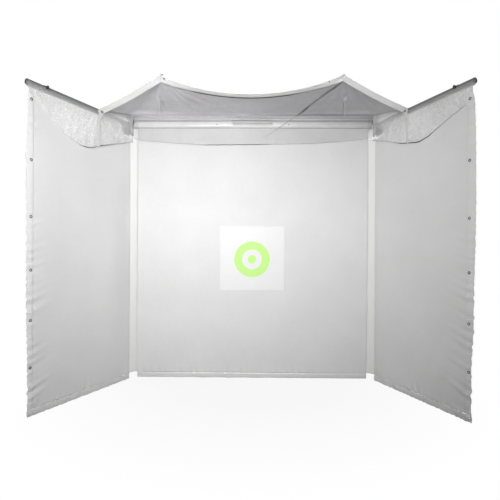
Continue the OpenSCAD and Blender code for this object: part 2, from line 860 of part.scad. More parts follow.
// Net that falls from the roof panel in front of the rails and the fascia to its free lower edge
module net_front_skirt() {
    columns = 40;
    rows = 3;
    ripple = 5;
    under = fascia_z - fascia_r - 13;
    fall = [[rail_front, roof_low - 3 * gap], [rail_front, beam_low - 2],
        [front_y - skirt_out, fascia_z + fascia_r], [front_y - skirt_out, fascia_z - fascia_r + 4],
        [front_y + skirt_back, under]];
    color([0.85, 0.85, 0.85, 0.6]) sheet([
        for (p = fall) [for (i = [0 : columns]) [(2 * i / columns - 1) * skirt_x, p[0], p[1]]],
        for (k = [1 : rows]) [for (i = [0 : columns])
            let (t = i / columns, x = 2 * t - 1, w = k / rows,
                low = fascia_z - fascia_r - skirt_h + skirt_rise * x * x)
            [x * skirt_x, front_y + skirt_back + ripple * w * sin(t * 3600), under + (low - under) * w]]],
        [0, -net_t, 0]);
}

// Lower edge of each side net
function side_low(side, x) = arm_z - lookup(x, [[0, side_rear_drop],
    [strap_at(side), side_strap_drop], [strap_at(side) + side_low_out, side_low_drop],
    [wing_end - side_inset, side_end_drop]]);

// Part of a side net between x0 and x1, from height top at n_top down to its lower edge
module side_panel(side, x0, x1, n_top, top, columns) {
    rows = 3;
    n_low = wing_t / 2 + fold + 4;
    color([0.85, 0.85, 0.85, 0.6]) on_arm(side) sheet([for (k = [0 : rows])
        [for (i = [0 : columns])
            let (w = k / rows, x = x0 + (x1 - x0) * i / columns)
            [x, n_top + (n_low - n_top) * w + 2.5 * w * sin(x * 2),
                top + (side_low(side, x) - top) * w]]], [0, net_t, 0]);
}

// Net on the inner side of the wing, in one piece each side of the seam tape
module net_side(side) {
    s = strap_at(side);
    half = tape_w / 2 + gap;
    union() {
        side_panel(side, 44, s - half, arm_r + 3, arm_z + arm_r - 2, 6);
        side_panel(side, s + half, wing_end - side_inset, wing_t / 2 + fold + 3, band_top - 2, 8);
    }
}

// Webbing over the arm with the seam tape down the side net
module net_strap(side) {
    s = strap_at(side);
    half = tape_w / 2;
    n_top = arm_r + gap + 0.3;
    n_low = wing_t / 2 + fold + 4;
    color("whitesmoke") on_arm(side) union() {
        translate([s - strap_half, 0, arm_z]) difference() {
            rod_x(arm_r + gap + strap_t, 0, 2 * strap_half);
            rod_x(arm_r + gap, -1, 2 * strap_half + 1);
            block([-1, -arm_r - 5, -arm_r - 5], [2 * strap_half + 1, arm_r + 5, 4]);
        }
        sheet([for (p = [[n_top, arm_z + tape_rise], [n_top, arm_z], [n_low, side_low(side, s)]])
            [for (x = [s - half, s + half]) [x, p[0], p[1]]]], [0, tape_t, 0]);
    }
}

// Ceiling discs with a stem and a ring under each
module net_hooks() {
    ring_z = hook_z + gap + hook_r + hook_wire;
    color("white") for (side = [-1, 1])
        translate([side * net_span / 2, -net_reach, 0]) {
            difference() {
                translate([0, 0, -hook_disc_t]) cylinder(r = hook_disc_r, h = hook_disc_t);
                for (s = [-1, 1]) translate([0, s * hook_hole_span / 2, -hook_disc_t - 1])
                    cylinder(r = hook_hole_r, h = hook_disc_t + 2);
            }
            translate([0, 0, ring_z + hook_r]) cylinder(r = hook_wire, h = -ring_z - hook_r - 1);
            translate([0, 0, ring_z]) ring(hook_r, hook_wire, 0);
        }
}

// ---------------------------------------------------------------- the nodes

head_beam();
fascia(-1);  // fascia_left
fascia(1);  // fascia_right
fascia_joint_plate();
fascia_screws();
rear_cover();
end_plate(-1);  // end_plate_left
end_plate(1);  // end_plate_right
power_gland();
ceiling_plates();
hanger_rods();
hanger_clips();
hinge_bracket(-1);  // hinge_bracket_left
hinge_bracket(1);  // hinge_bracket_right
hinge_pins();
hinge_screws();
idler_pin();
tubular_motor();
roller_tube();
idler_plug();
idler_bearing();
drive_wheel();
crown_ring();
screen_wrap();
screen_cloth();
screen_hem();
hem_bar();
target_patch();
arm_root(-1);  // arm_root_left
arm_tube(-1);  // arm_tube_left
arm_end(-1);  // arm_end_left
arm_cap(-1);  // arm_cap_left
lock_saddle(-1);  // lock_saddle_left
lock_knob(-1);  // lock_knob_left
wing_band(-1);  // wing_band_left
wing_cloth(-1);  // wing_cloth_left
wing_outer_hem(-1);  // wing_outer_hem_left
wing_bottom_hem(-1);  // wing_bottom_hem_left
wing_grommets(-1);  // wing_grommets_left
corner_strip(-1);  // corner_strip_left
net_strap(-1);  // net_strap_left
net_side(-1);  // net_side_left
arm_root(1);  // arm_root_right
arm_tube(1);  // arm_tube_right
arm_end(1);  // arm_end_right
arm_cap(1);  // arm_cap_right
lock_saddle(1);  // lock_saddle_right
lock_knob(1);  // lock_knob_right
wing_band(1);  // wing_band_right
wing_cloth(1);  // wing_cloth_right
wing_outer_hem(1);  // wing_outer_hem_right
wing_bottom_hem(1);  // wing_bottom_hem_right
wing_grommets(1);  // wing_grommets_right
corner_strip(1);  // corner_strip_right
net_strap(1);  // net_strap_right
net_side(1);  // net_side_right
net_roof();
net_front_skirt();
net_hem();
net_hooks();
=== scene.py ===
"""Looks of a ceiling-hung golf hitting screen: cloth, netting, webbing, metal and plastic."""

import math

import bpy
import numpy as np
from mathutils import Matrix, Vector


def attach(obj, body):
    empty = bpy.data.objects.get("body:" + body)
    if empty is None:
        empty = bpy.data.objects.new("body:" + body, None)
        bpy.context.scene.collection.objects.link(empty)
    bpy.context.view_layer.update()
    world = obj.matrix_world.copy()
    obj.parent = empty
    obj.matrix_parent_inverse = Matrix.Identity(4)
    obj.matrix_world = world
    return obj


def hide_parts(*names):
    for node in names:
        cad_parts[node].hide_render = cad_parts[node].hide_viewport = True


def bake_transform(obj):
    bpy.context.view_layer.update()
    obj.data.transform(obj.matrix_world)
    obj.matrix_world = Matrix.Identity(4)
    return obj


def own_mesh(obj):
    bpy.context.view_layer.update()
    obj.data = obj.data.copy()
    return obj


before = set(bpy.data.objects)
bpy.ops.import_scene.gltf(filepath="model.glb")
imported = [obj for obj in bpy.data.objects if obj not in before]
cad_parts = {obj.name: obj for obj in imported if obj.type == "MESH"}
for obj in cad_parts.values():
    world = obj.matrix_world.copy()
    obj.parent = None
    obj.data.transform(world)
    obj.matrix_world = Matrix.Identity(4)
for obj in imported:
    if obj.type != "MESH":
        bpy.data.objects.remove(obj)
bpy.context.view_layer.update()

LEFT, RIGHT = -1, 1
SIDES = {LEFT: "left", RIGHT: "right"}

# -------- sizes in metres

# Hinges, arms and the rail under each arm; z is 0 at the ceiling
PIVOT_X, PIVOT_Y = 1.276, -0.108
SPLAY = {LEFT: math.radians(25), RIGHT: math.radians(22)}
ARM_Z, ARM_R = -0.28, 0.023
RAIL_Z, BEAD_R = -0.3075, 0.0042

# Wings; x runs out along the arm from the hinge
BAND_TOP, BAND_LOW = -0.316, -0.364
CLOTH_TOP = -0.3643
NOTCH_X, NOTCH_Z, NOTCH_TOP = 0.135, -0.425, -0.3946
WING_IN, WING_END = 0.003, 1.142
STRIP_TOP = -0.408
HEM_W, HEM_H = 0.042, 0.052
BOTTOM = -2.92
CLOTH_LOW = BOTTOM + HEM_H
HEM_Z = BOTTOM + HEM_H / 2
GROMMETS = [-0.405 - 0.480 * (1 - 0.94**i) / 0.06 for i in range(6)]
GROMMET_X = WING_END - HEM_W / 2

# Screen, the sleeve of its hem bar, and the target patch
SCREEN_X, SCREEN_Y = 1.215, -0.0498
SLEEVE_X, SLEEVE_R = 1.206, 0.0088
ROLLER_Y, ROLLER_Z = -0.008, -0.222
TURNS, TURNS_IN, TURNS_OUT = 3.3, 0.0357, 0.0405
PATCH_Z, PATCH_W = -1.661, 0.690
PATCH_Y = SCREEN_Y - 0.0011
EDGING_W, EDGING_H = 0.006, 0.0012
SPOT_R, RING_R, RING_HALF, TARGET_UP = 0.046, 0.146, 0.042, -0.012

# Net: rear corners at the head unit, front corners at the ceiling hooks, straps over the arms
CORNER_X, CORNER_Y, CORNER_Z = 1.255, -0.0882, -0.1765
HOOK_X, HOOK_Y = 0.825, -0.663
TIPS = {LEFT: np.array([-0.835, -0.663, -0.015]), RIGHT: np.array([0.815, -0.668, -0.006])}
NET_SAG, SIDE_SAG = 0.170, 0.014
STRAP = {LEFT: 0.415, RIGHT: 0.446}
STRAP_TOP = ARM_Z + ARM_R + 0.006
STRAP_HALF = 0.0153
STRAP_OVER, STRAP_SIDE, STRAP_LOW = 0.0246, 0.0256, 0.0155
STRAP_W, TAPE_W = 0.024, 0.015
STRAP_SPREAD = {LEFT: (0.002, 0.030), RIGHT: (0.006, 0.016)}
SEAM_LEAN = {LEFT: 0.028, RIGHT: 0.026}
SIDE_START, SIDE_END = -0.025, 1.096
SKIRT_X, SKIRT_Y = 1.254, -0.0712
# width of the webbing, and the drop to the dark cord that paints the shadow under the middle
# webbing
WEBBING_W, SHADOW_CORD_DOWN = 0.050, 0.0515
EYELET_R, EYELET_WIRE = 0.0085, 0.0032
EYELET_AT = {LEFT: 0.0218, RIGHT: 0.9212}

# Ways in which the webbing hangs from the net's front edge, and stands out from it; the last is the
# offset of the dark cord of painted shadow under the middle webbing
HEM_BACK = np.array([0.0, 0.98, -0.08])
HEM_DOWN = np.array([0.0, 0.0, -1.0])
HEM_OUT = np.array([0.0, -1.0, -0.4])
SHADOW_CORD_OUT = np.array([0.0, -0.0015, -0.0030])

# Lower edge of each side net: distance along the arm, height
SIDE_LOW = {
    LEFT: [(0.0, -0.455), (0.107, -0.497), (0.271, -0.555), (0.374, -0.593), (0.473, -0.634),
           (0.544, -0.651), (0.612, -0.654), (0.711, -0.630), (0.80, -0.598), (0.88, -0.560),
           (0.94, -0.508), (1.008, -0.440), (1.068, -0.379), (1.10, -0.345)],
    RIGHT: [(0.0, -0.435), (0.175, -0.489), (0.275, -0.531), (0.370, -0.565), (0.474, -0.586),
            (0.549, -0.602), (0.597, -0.605), (0.701, -0.586), (0.799, -0.544), (0.962, -0.486),
            (1.066, -0.453), (1.11, -0.440)],
}
# Distance below the ceiling, and how far each outer hem's free edge swells beyond a plain hem
HEM_BULGE = {
    LEFT: [(0.364, 0.001), (0.42, 0.009), (0.60, 0.016), (0.85, 0.023), (1.10, 0.023),
           (1.35, 0.018), (2.0, 0.017), (2.4, 0.007), (2.6, 0.002), (2.92, 0.0)],
    RIGHT: [(0.364, 0.002), (0.41, 0.017), (0.50, 0.025), (0.70, 0.032), (1.30, 0.034),
            (1.60, 0.031), (1.85, 0.023), (2.2, 0.018), (2.45, 0.0), (2.92, 0.0)],
}
# Lower edge of the front net: place along the head unit, height
SKIRT_LOW = [(-1.267, -0.401), (-1.17, -0.427), (-0.87, -0.450), (-0.611, -0.466),
             (-0.490, -0.471), (0.120, -0.464), (0.665, -0.452), (0.916, -0.432),
             (1.177, -0.403), (1.27, -0.395)]
# Fall of the front net from the roof panel over rails and fascia: depth, height
SKIRT_FALL = [(-0.0884, -0.1772), (-0.0884, -0.213), (-0.0802, -0.229), (-0.0802, -0.288),
              (SKIRT_Y, -0.305)]

# Lines painted on the nets, each also making the net denser: painted shade along creases, over the
# beam's rails and under the fascia, and painted light along creases and where the rail and the
# hanger rods show through. Columns: factors of the curve v over u, its start and end in u, half its
# width, its shade and its strength
ALL_ALONG = (-1.85, 2.3)
ROOF_CREASE_RIGHT = (2.661, -9.971, 10.313, -3.672)
ROOF_LIT_AND_SHADED_LINES = (
    # painted light along the roof's rear edge, where the upper rail shows through
    ((CORNER_Y,), *ALL_ALONG, 0.012, 0.62, 0.9),
    # painted shade along the crease to the right hook, and its dark end
    (ROOF_CREASE_RIGHT, 0.83, 0.34, 0.020, 0.08, 0.75),
    (ROOF_CREASE_RIGHT, 0.56, 0.36, 0.050, 0.05, 0.80),
    # painted light along two creases on the left
    ((-0.037, 1.166, 0.565), -0.74, -0.10, 0.034, 0.72, 0.32),
    ((0.903, 1.849, -0.044), -0.76, -0.54, 0.040, 0.70, 0.25),
    # painted light round the two ceiling hangers, where their rods show through the net
    ((-4.621, -4.641), -0.912, -0.985, 0.034, 0.75, 0.40),
    ((-4.486, 4.587), 0.890, 0.965, 0.034, 0.9, 0.50),
    ((-23.318, -25.433), -0.901, -0.915, 0.24, 0.7, 0.22),
    ((-9.79, 10.772), 0.872, 0.900, 0.12, 0.9, 0.25),
    ((-0.396,), -0.936, -0.898, 0.05, 0.8, 0.40),
    ((-0.391,), 0.880, 0.920, 0.05, 0.9, 0.50),
)
SKIRT_SHADED_LINES = (
    # painted shade along the crease from the right hook
    ((-0.4718, 0.657), 0.473, 0.080, 0.010, 0.25, 0.45),
    # painted shade over the beam's rails and under the fascia
    ((-0.195,), *ALL_ALONG, 0.008, 0.22, 0.35),
    ((-0.224,), *ALL_ALONG, 0.008, 0.22, 0.30),
    ((-0.2965,), *ALL_ALONG, 0.007, 0.25, 0.45),
)
# painted shade on the inner side nets by the hinge, where they are also denser
SIDE_SHADED_PATCH = (((-0.26,), -0.040, 0.030, 0.12, 0.54, 1.5),)


# -------- shapes of ripples and lines


def points(*coordinates):
    """Array of points, or of UV pairs, from coordinates that broadcast together."""
    return np.stack(np.broadcast_arrays(*coordinates), -1)


def row(start, end, count):
    return np.linspace(start, end, count)[None, :]


def column(start, end, count):
    return np.linspace(start, end, count)[:, None]


def on_arm(side, x, n, z):
    """Points beside an arm: x out along it from the hinge, n to its inner side, z up."""
    s, c = math.sin(SPLAY[side]), math.cos(SPLAY[side])
    return points(side * (PIVOT_X + x * s - n * c), PIVOT_Y - x * c - n * s, z)


def run_along(line):
    """Distance along a line of points, at each of them."""
    return np.concatenate([[0], np.cumsum(np.linalg.norm(np.diff(line, axis=0), axis=1))])


def lookup(x, table):
    xs, values = np.array(table).T
    return np.interp(x, xs, values)


def waves(x, y, size, seed, count=7):
    """Smooth irregular ripples of about one unit, with bumps of about the given size."""
    draw = np.random.default_rng(seed)
    total = np.zeros(np.broadcast(x, y).shape)
    for _ in range(count):
        turn, rate, phase = draw.uniform(0, math.pi), draw.uniform(0.6, 1.6), draw.uniform(0, 6.283)
        k = 2 * math.pi / size * rate
        total = total + np.sin(k * (x * math.cos(turn) + y * math.sin(turn)) + phase)
    return total / math.sqrt(count)


def along(x, size, seed, count=5):
    """Irregular ripples along one direction."""
    draw = np.random.default_rng(seed)
    x = np.asarray(x, float)
    total = np.zeros(x.shape)
    for _ in range(count):
        rate, phase = draw.uniform(0.7, 1.5), draw.uniform(0, 6.283)
        total = total + np.sin(2 * math.pi * x / size * rate + phase)
    return total / math.sqrt(count)


def ripples(height, away, reach, x, size, seed):
    """Ripples of that height at an edge, dying out over about the reach away from it."""
    return height * np.exp(-away / reach) * along(x, size, seed)


def ease(x, low, high):
    """0 below low, 1 above high and a smooth step between."""
    t = np.clip((np.asarray(x, float) - low) / (high - low), 0, 1)
    return t * t * (3 - 2 * t)


# -------- materials


class Nodes:
    """Wires the shader nodes of a material or of the world."""

    def __init__(self, owner, out="OutputMaterial"):
        self.owner = owner
        owner.use_nodes = True
        self.tree = owner.node_tree
        self.tree.nodes.clear()
        self.out = self.add(out)

    def add(self, kind, values=None, **settings):
        """New node; a value that is a socket or a node gets linked."""
        node = self.tree.nodes.new("ShaderNode" + kind)
        for key, value in settings.items():
            setattr(node, key, value)
        for key, value in (values or {}).items():
            if isinstance(value, bpy.types.Node):
                value = value.outputs[0]
            if isinstance(value, bpy.types.NodeSocket):
                self.tree.links.new(value, node.inputs[key])
            else:
                node.inputs[key].default_value = value
        return node

    def finish(self, shader):
        self.tree.links.new(shader.outputs[0], self.out.inputs["Surface"])
        return self.owner

    def math(self, how, a, b=0.0, c=0.0, clamp=False):
        return self.add("Math", {0: a, 1: b, 2: c}, operation=how, use_clamp=clamp).outputs[0]

    def plus(self, a, b, clamp=False):
        return self.math("ADD", a, b, clamp=clamp)

    def times(self, a, b):
        return self.math("MULTIPLY", a, b)

    def apart(self, a, b):
        return self.math("ABSOLUTE", self.math("SUBTRACT", a, b))

    def uv(self):
        sep = self.add("SeparateXYZ", {0: self.add("TexCoord").outputs["UV"]})
        return sep.outputs[0], sep.outputs[1]

    def place(self):
        return self.add("TexCoord").outputs["Object"]

    def noise(self, vector, scale, detail=4.0, roughness=0.55):
        return self.add("TexNoise", {"Vector": vector, "Scale": scale, "Detail": detail,
                                     "Roughness": roughness}).outputs["Fac"]

    def mix(self, factor, a, b):
        return self.add("Mix", {0: factor, 6: a, 7: b}, data_type="RGBA").outputs[2]

    def scale(self, colour, factor):
        return self.add("VectorMath", {0: colour, 3: factor}, operation="SCALE").outputs[0]

    def span(self, value, a0, a1, b0=0.0, b1=1.0):
        """Takes a0 to b0 and a1 to b1, straight between them and level beyond."""
        return self.add("MapRange", {0: value, 1: a0, 2: a1, 3: b0, 4: b1}).outputs[0]

    def bump(self, strength, distance, height, **normal):
        return self.add("Bump", {"Strength": strength, "Distance": distance, "Height": height,
                                 **normal})


WHITE, CREAM, IVORY = (1, 1, 1), (1, 1, 0.995), (1, 1, 0.99)
COOL, PALE, BLUISH = (0.98, 0.99, 1.0), (0.99, 0.995, 1.0), (1, 1, 1.05)
TARGET_GREEN = (0.50, 0.84, 0.21, 1.0)


def grey(v, tint=WHITE):
    return (v * tint[0], v * tint[1], v * tint[2], 1.0)


def thread(g, coordinate, pitch):
    """0 to 1 across each thread."""
    return g.math("ABSOLUTE", g.math("SINE", g.times(coordinate, math.pi / pitch)))


def stitch_mask(g, across, along_it, places, pitch=0.006, width=0.0009):
    """1 on the dashes of the seams at those places across the cloth."""
    dash = g.math("LESS_THAN", g.math("FRACT", g.math("DIVIDE", along_it, pitch)), 0.72)
    total = None
    for place in places:
        near = g.math("LESS_THAN", g.apart(across, place), width)
        total = near if total is None else g.math("MAXIMUM", total, near)
    return g.times(total, dash)


def cloth_look(name, value, tint=WHITE, pitch=0.0016, seams=(), seam_on="v", soil=0.05,
               sheen=0.25, clear=0.12, fade=None, print_node=None):
    """Woven cloth: threads both ways, slubs, soft soiling, and sewn seams where given.

    pitch is the width of a thread and clear the share of light that shines through. fade is painted
    shade along v, and print_node adds a print.
    """
    g = Nodes(bpy.data.materials.new(name))
    u, v = g.uv()
    place = g.place()
    weave = g.times(thread(g, u, pitch), thread(g, v, pitch))
    slub = g.noise(place, 900.0, 2.0)
    cloud = g.span(g.noise(place, 2.3, 5.0), 0.3, 0.7, -soil, soil * 0.4)
    spots = g.span(g.noise(place, 26.0, 6.0, 0.65), 0.35, 0.75, 0.01, -0.02)
    colour = g.mix(g.plus(g.plus(cloud, spots), 0.5, clamp=True),
                   grey(value * 0.55, tint), grey(min(value * 1.45, 1.0), tint))
    colour = g.mix(g.span(weave, 0.0, 0.6, 0.10, 0.0), colour, grey(value * 0.62, tint))
    # painted shade along v
    if fade:
        colour = g.scale(colour, g.span(v, *fade))
    height = g.plus(g.times(weave, 0.6), g.times(slub, 0.25))
    if seams:
        across, run = (v, u) if seam_on == "v" else (u, v)
        mask = stitch_mask(g, across, run, seams)
        colour = g.mix(g.times(mask, 0.55), colour, grey(0.42))
        height = g.plus(height, g.times(mask, 1.6))
    if print_node:
        colour, height = print_node(g, u, v, colour, height)
    fine = g.bump(0.35, 0.0006, height)
    wrinkled = g.bump(0.25, 0.002, g.noise(place, 40.0, 5.0), Normal=fine)
    shader = g.add("BsdfPrincipled", {
        "Base Color": colour, "Roughness": 0.88, "Sheen Weight": sheen, "Sheen Roughness": 0.5,
        "Specular IOR Level": 0.25, "Normal": wrinkled})
    through = g.add("BsdfTranslucent", {"Color": colour, "Normal": wrinkled})
    return g.finish(g.add("MixShader", {0: clear, 1: shader, 2: through}))


def ring_target(g, u, v, colour, height):
    """Printed practice target: a broad ring round a spot."""
    across = g.math("SUBTRACT", u, PATCH_W / 2)
    up = g.math("SUBTRACT", v, PATCH_W / 2 + TARGET_UP)
    r = g.math("SQRT", g.plus(g.times(across, across), g.times(up, up)))
    spot = g.math("LESS_THAN", r, SPOT_R)
    ring = g.math("LESS_THAN", g.apart(r, RING_R), RING_HALF)
    worn = g.span(g.noise(g.place(), 90.0, 5.0, 0.7), 0.3, 0.62, 0.72, 1.0)
    mask = g.times(g.math("MAXIMUM", spot, ring), worn)
    return g.mix(mask, colour, TARGET_GREEN), g.plus(height, g.times(mask, 0.3))


def painted_line_mask(g, u, v, curve, start, end, width):
    """1 on a painted line along v = curve of u, fading to its sides and to both ends in u."""
    place = curve[-1]
    for factor in reversed(curve[:-1]):
        place = g.math("MULTIPLY_ADD", u, place, factor)
    length = end - start
    beside = g.span(g.apart(v, place), 0.0, width, 1.0, 0.0)
    first = g.span(u, start, start + 0.12 * length)
    last = g.span(u, start + 0.75 * length, end, 1.0, 0.0)
    return g.times(beside, g.times(first, last))


def net_look(name, value, solid, crease, tint=WHITE, pitch=0.0042, lit_and_shaded_lines=(), painted_shade_along=None,
             painted_light_band=None, painted_shade_top=None, thin_ends=None, thin_above=None, dense_ends=None):
    """Fine knotless net: open cells between twisted threads, denser where it creases.

    solid is the share that the threads cover, and crease what the creases add. The values along u
    and the top-edge values (slope, height, depth, shade) are painted shade, the values at one v a
    band of painted light, and the listed lines paint light and shade; the top edge and the lines
    also make it denser, and the thin and dense values change its cover.
    """
    g = Nodes(bpy.data.materials.new(name))
    u, v = g.uv()
    place = g.place()
    cell = g.math("MINIMUM", thread(g, u, pitch), thread(g, v, pitch))
    yarn = g.math("LESS_THAN", cell, 0.42)
    ridge = g.span(g.apart(g.noise(place, 7.0, 3.0), 0.5), 0.0, 0.03, crease, 0.0)
    fine = g.span(g.noise(place, 55.0, 4.0, 0.6), 0.4, 0.7, -0.04, 0.06)
    cover = g.plus(g.plus(g.times(yarn, 0.45), solid - 0.25), g.plus(ridge, fine), clamp=True)
    colour = g.mix(g.span(g.noise(place, 3.0, 3.0), 0.3, 0.7),
                   grey(value * 0.88, tint), grey(min(value * 1.08, 1.0), tint))
    # painted shade along u
    if painted_shade_along:
        colour = g.scale(colour, g.span(u, *painted_shade_along))
    # a band of painted light at one v
    if painted_light_band:
        middle, reach, gain = painted_light_band
        colour = g.scale(colour, g.span(g.apart(v, middle), 0.0, reach, gain, 1.0))
    if thin_ends:
        cover = g.times(cover, g.span(u, *thin_ends, 1.0))
    # painted shade along the top edge, where the net is also denser
    if painted_shade_top:
        slope, edge, depth, dark = painted_shade_top
        below = g.math("SUBTRACT", g.math("MULTIPLY_ADD", u, slope, edge), v)
        at_top = g.span(below, 0.035, depth, 1.0, 0.0)
        colour = g.mix(at_top, colour, grey(dark, tint))
        cover = g.plus(cover, g.times(at_top, 0.45), clamp=True)
    if dense_ends:
        cover = g.plus(cover, g.span(g.math("ABSOLUTE", u), *dense_ends), clamp=True)
    if thin_above is not None:
        cover = g.times(cover, g.span(v, thin_above - 0.012, thin_above, 1.0, 0.35))
    # lines of painted light and shade, each also making the net denser
    for *line, shade, strength in lit_and_shaded_lines:
        painted_mask = g.times(painted_line_mask(g, u, v, *line), strength)
        colour = g.mix(painted_mask, colour, grey(shade, tint))
        cover = g.plus(cover, painted_mask, clamp=True)
    twist = g.math("SINE", g.times(g.plus(u, v), 9000.0))
    threads = g.bump(0.3, 0.0006, g.plus(cell, g.times(twist, 0.15)))
    crumpled = g.bump(0.5, 0.006, g.noise(place, 18.0, 4.0), Normal=threads)
    shader = g.add("BsdfPrincipled", {
        "Base Color": colour, "Roughness": 0.7, "Sheen Weight": 0.15,
        "Specular IOR Level": 0.3, "Normal": crumpled})
    yarns = g.add("MixShader", {0: 0.3, 1: shader, 2: g.add("BsdfTranslucent", {"Color": colour})})
    return g.finish(g.add("MixShader", {0: cover, 1: g.add("BsdfTransparent"), 2: yarns}))


def hard_look(name, value, tint=WHITE, rough=0.4, wear=0.2, metal=0.0, brushed=None,
              coat=0.0, grain=0.0, bevel=0.0012, painted_shading=(), fade=None):
    """Metal, paint or moulded plastic with soft edges, scratches, smudges and dust.

    brushed is the axis of the brush marks; the values by height and the fade along one way paint
    light and shade on it.
    """
    g = Nodes(bpy.data.materials.new(name))
    place = g.place()
    smudge = g.noise(place, 6.0, 6.0, 0.6)
    if brushed is not None:
        stretch = [260.0, 260.0, 260.0]
        stretch[brushed] = 3.0
        lined = g.add("Mapping", {"Vector": place, "Scale": stretch}).outputs[0]
        fine = g.noise(lined, 3.0, 5.0, 0.7)
    else:
        fine = g.noise(place, 420.0, 3.0)
    dust = g.noise(place, 60.0, 6.0, 0.7)
    colour = g.mix(g.span(smudge, 0.3, 0.7),
                   grey(value * 0.93, tint), grey(min(value * 1.05, 1.0), tint))
    # painted light and shade by height: lighter rails, darker grooves, recesses and tops
    if painted_shading:
        height_in = g.add("SeparateXYZ", {0: place}).outputs[2]
        tone = painted_shading[0][1]
        for (z0, t0), (z1, t1) in zip(painted_shading, painted_shading[1:]):
            tone = g.plus(tone, g.span(height_in, z0, z1, 0.0, t1 - t0))
        colour = g.scale(colour, tone)
    # painted shade along one way
    if fade:
        way, *ends = fade
        run = g.add("VectorMath", {0: place, 1: way}, operation="DOT_PRODUCT").outputs["Value"]
        colour = g.scale(colour, g.span(run, *ends))
    colour = g.mix(g.span(dust, 0.55, 0.8, 0.0, wear), colour, grey(0.5 * value + 0.25))
    gloss = g.plus(g.span(fine, 0.3, 0.7, -0.06, 0.06),
                   g.span(smudge, 0.35, 0.7, rough - 0.06, rough + 0.07))
    height = g.plus(g.times(fine, 0.5), g.times(g.noise(place, 300.0, 2.0), grain))
    soft = g.add("Bevel", {"Radius": bevel}, samples=4)
    return g.finish(g.add("BsdfPrincipled", {
        "Base Color": colour, "Metallic": metal, "Roughness": gloss, "Coat Weight": coat,
        "Normal": g.bump(0.12 + grain * 0.5, 0.0004, height, Normal=soft)}))


# Painted light and shade on the head unit and the arms: (height, tone) pairs, and a way with the
# two places and tones of a fade of painted shade along it
PAINTED_SHADE_TO_RIGHT = ((1, 0, 0), 0.3, 1.2, 1.0, 0.74)
BEAM_PAINTED_LIGHT_AND_SHADE = ((-0.212, 0.80), (-0.210, 0.98), (-0.203, 0.98), (-0.201, 0.70), (-0.182, 0.70),
              (-0.179, 1.04))
FASCIA_PAINTED_SHADE = ((-0.2400, 1.0), (-0.232, 0.80), (-0.2305, 0.60))
JOINT_PAINTED_LIGHT_AND_SHADE = ((-0.290, 1.05), (-0.280, 1.10), (-0.272, 1.0), (-0.262, 0.80), (-0.250, 0.70),
               (-0.232, 0.70), (-0.2305, 0.60))
ARM_PAINTED_SHADE = ((-0.316, 1.0), (-0.303, 0.78), (-0.285, 0.42), (-0.270, 0.17), (-0.262, 0.08))


def cap_look(side):
    """End cap of an arm, with painted shade darkening its outer side."""
    s, c = math.sin(SPLAY[side]), math.cos(SPLAY[side])
    inward, middle = (-side * c, -s, 0), -PIVOT_X * c - PIVOT_Y * s
    return hard_look(f"cap_plastic_{SIDES[side]}", 0.42, PALE, 0.5, 0.06, painted_shading=ARM_PAINTED_SHADE,
                     fade=(inward, middle - 0.009, middle + 0.003, 0.03, 1.0))


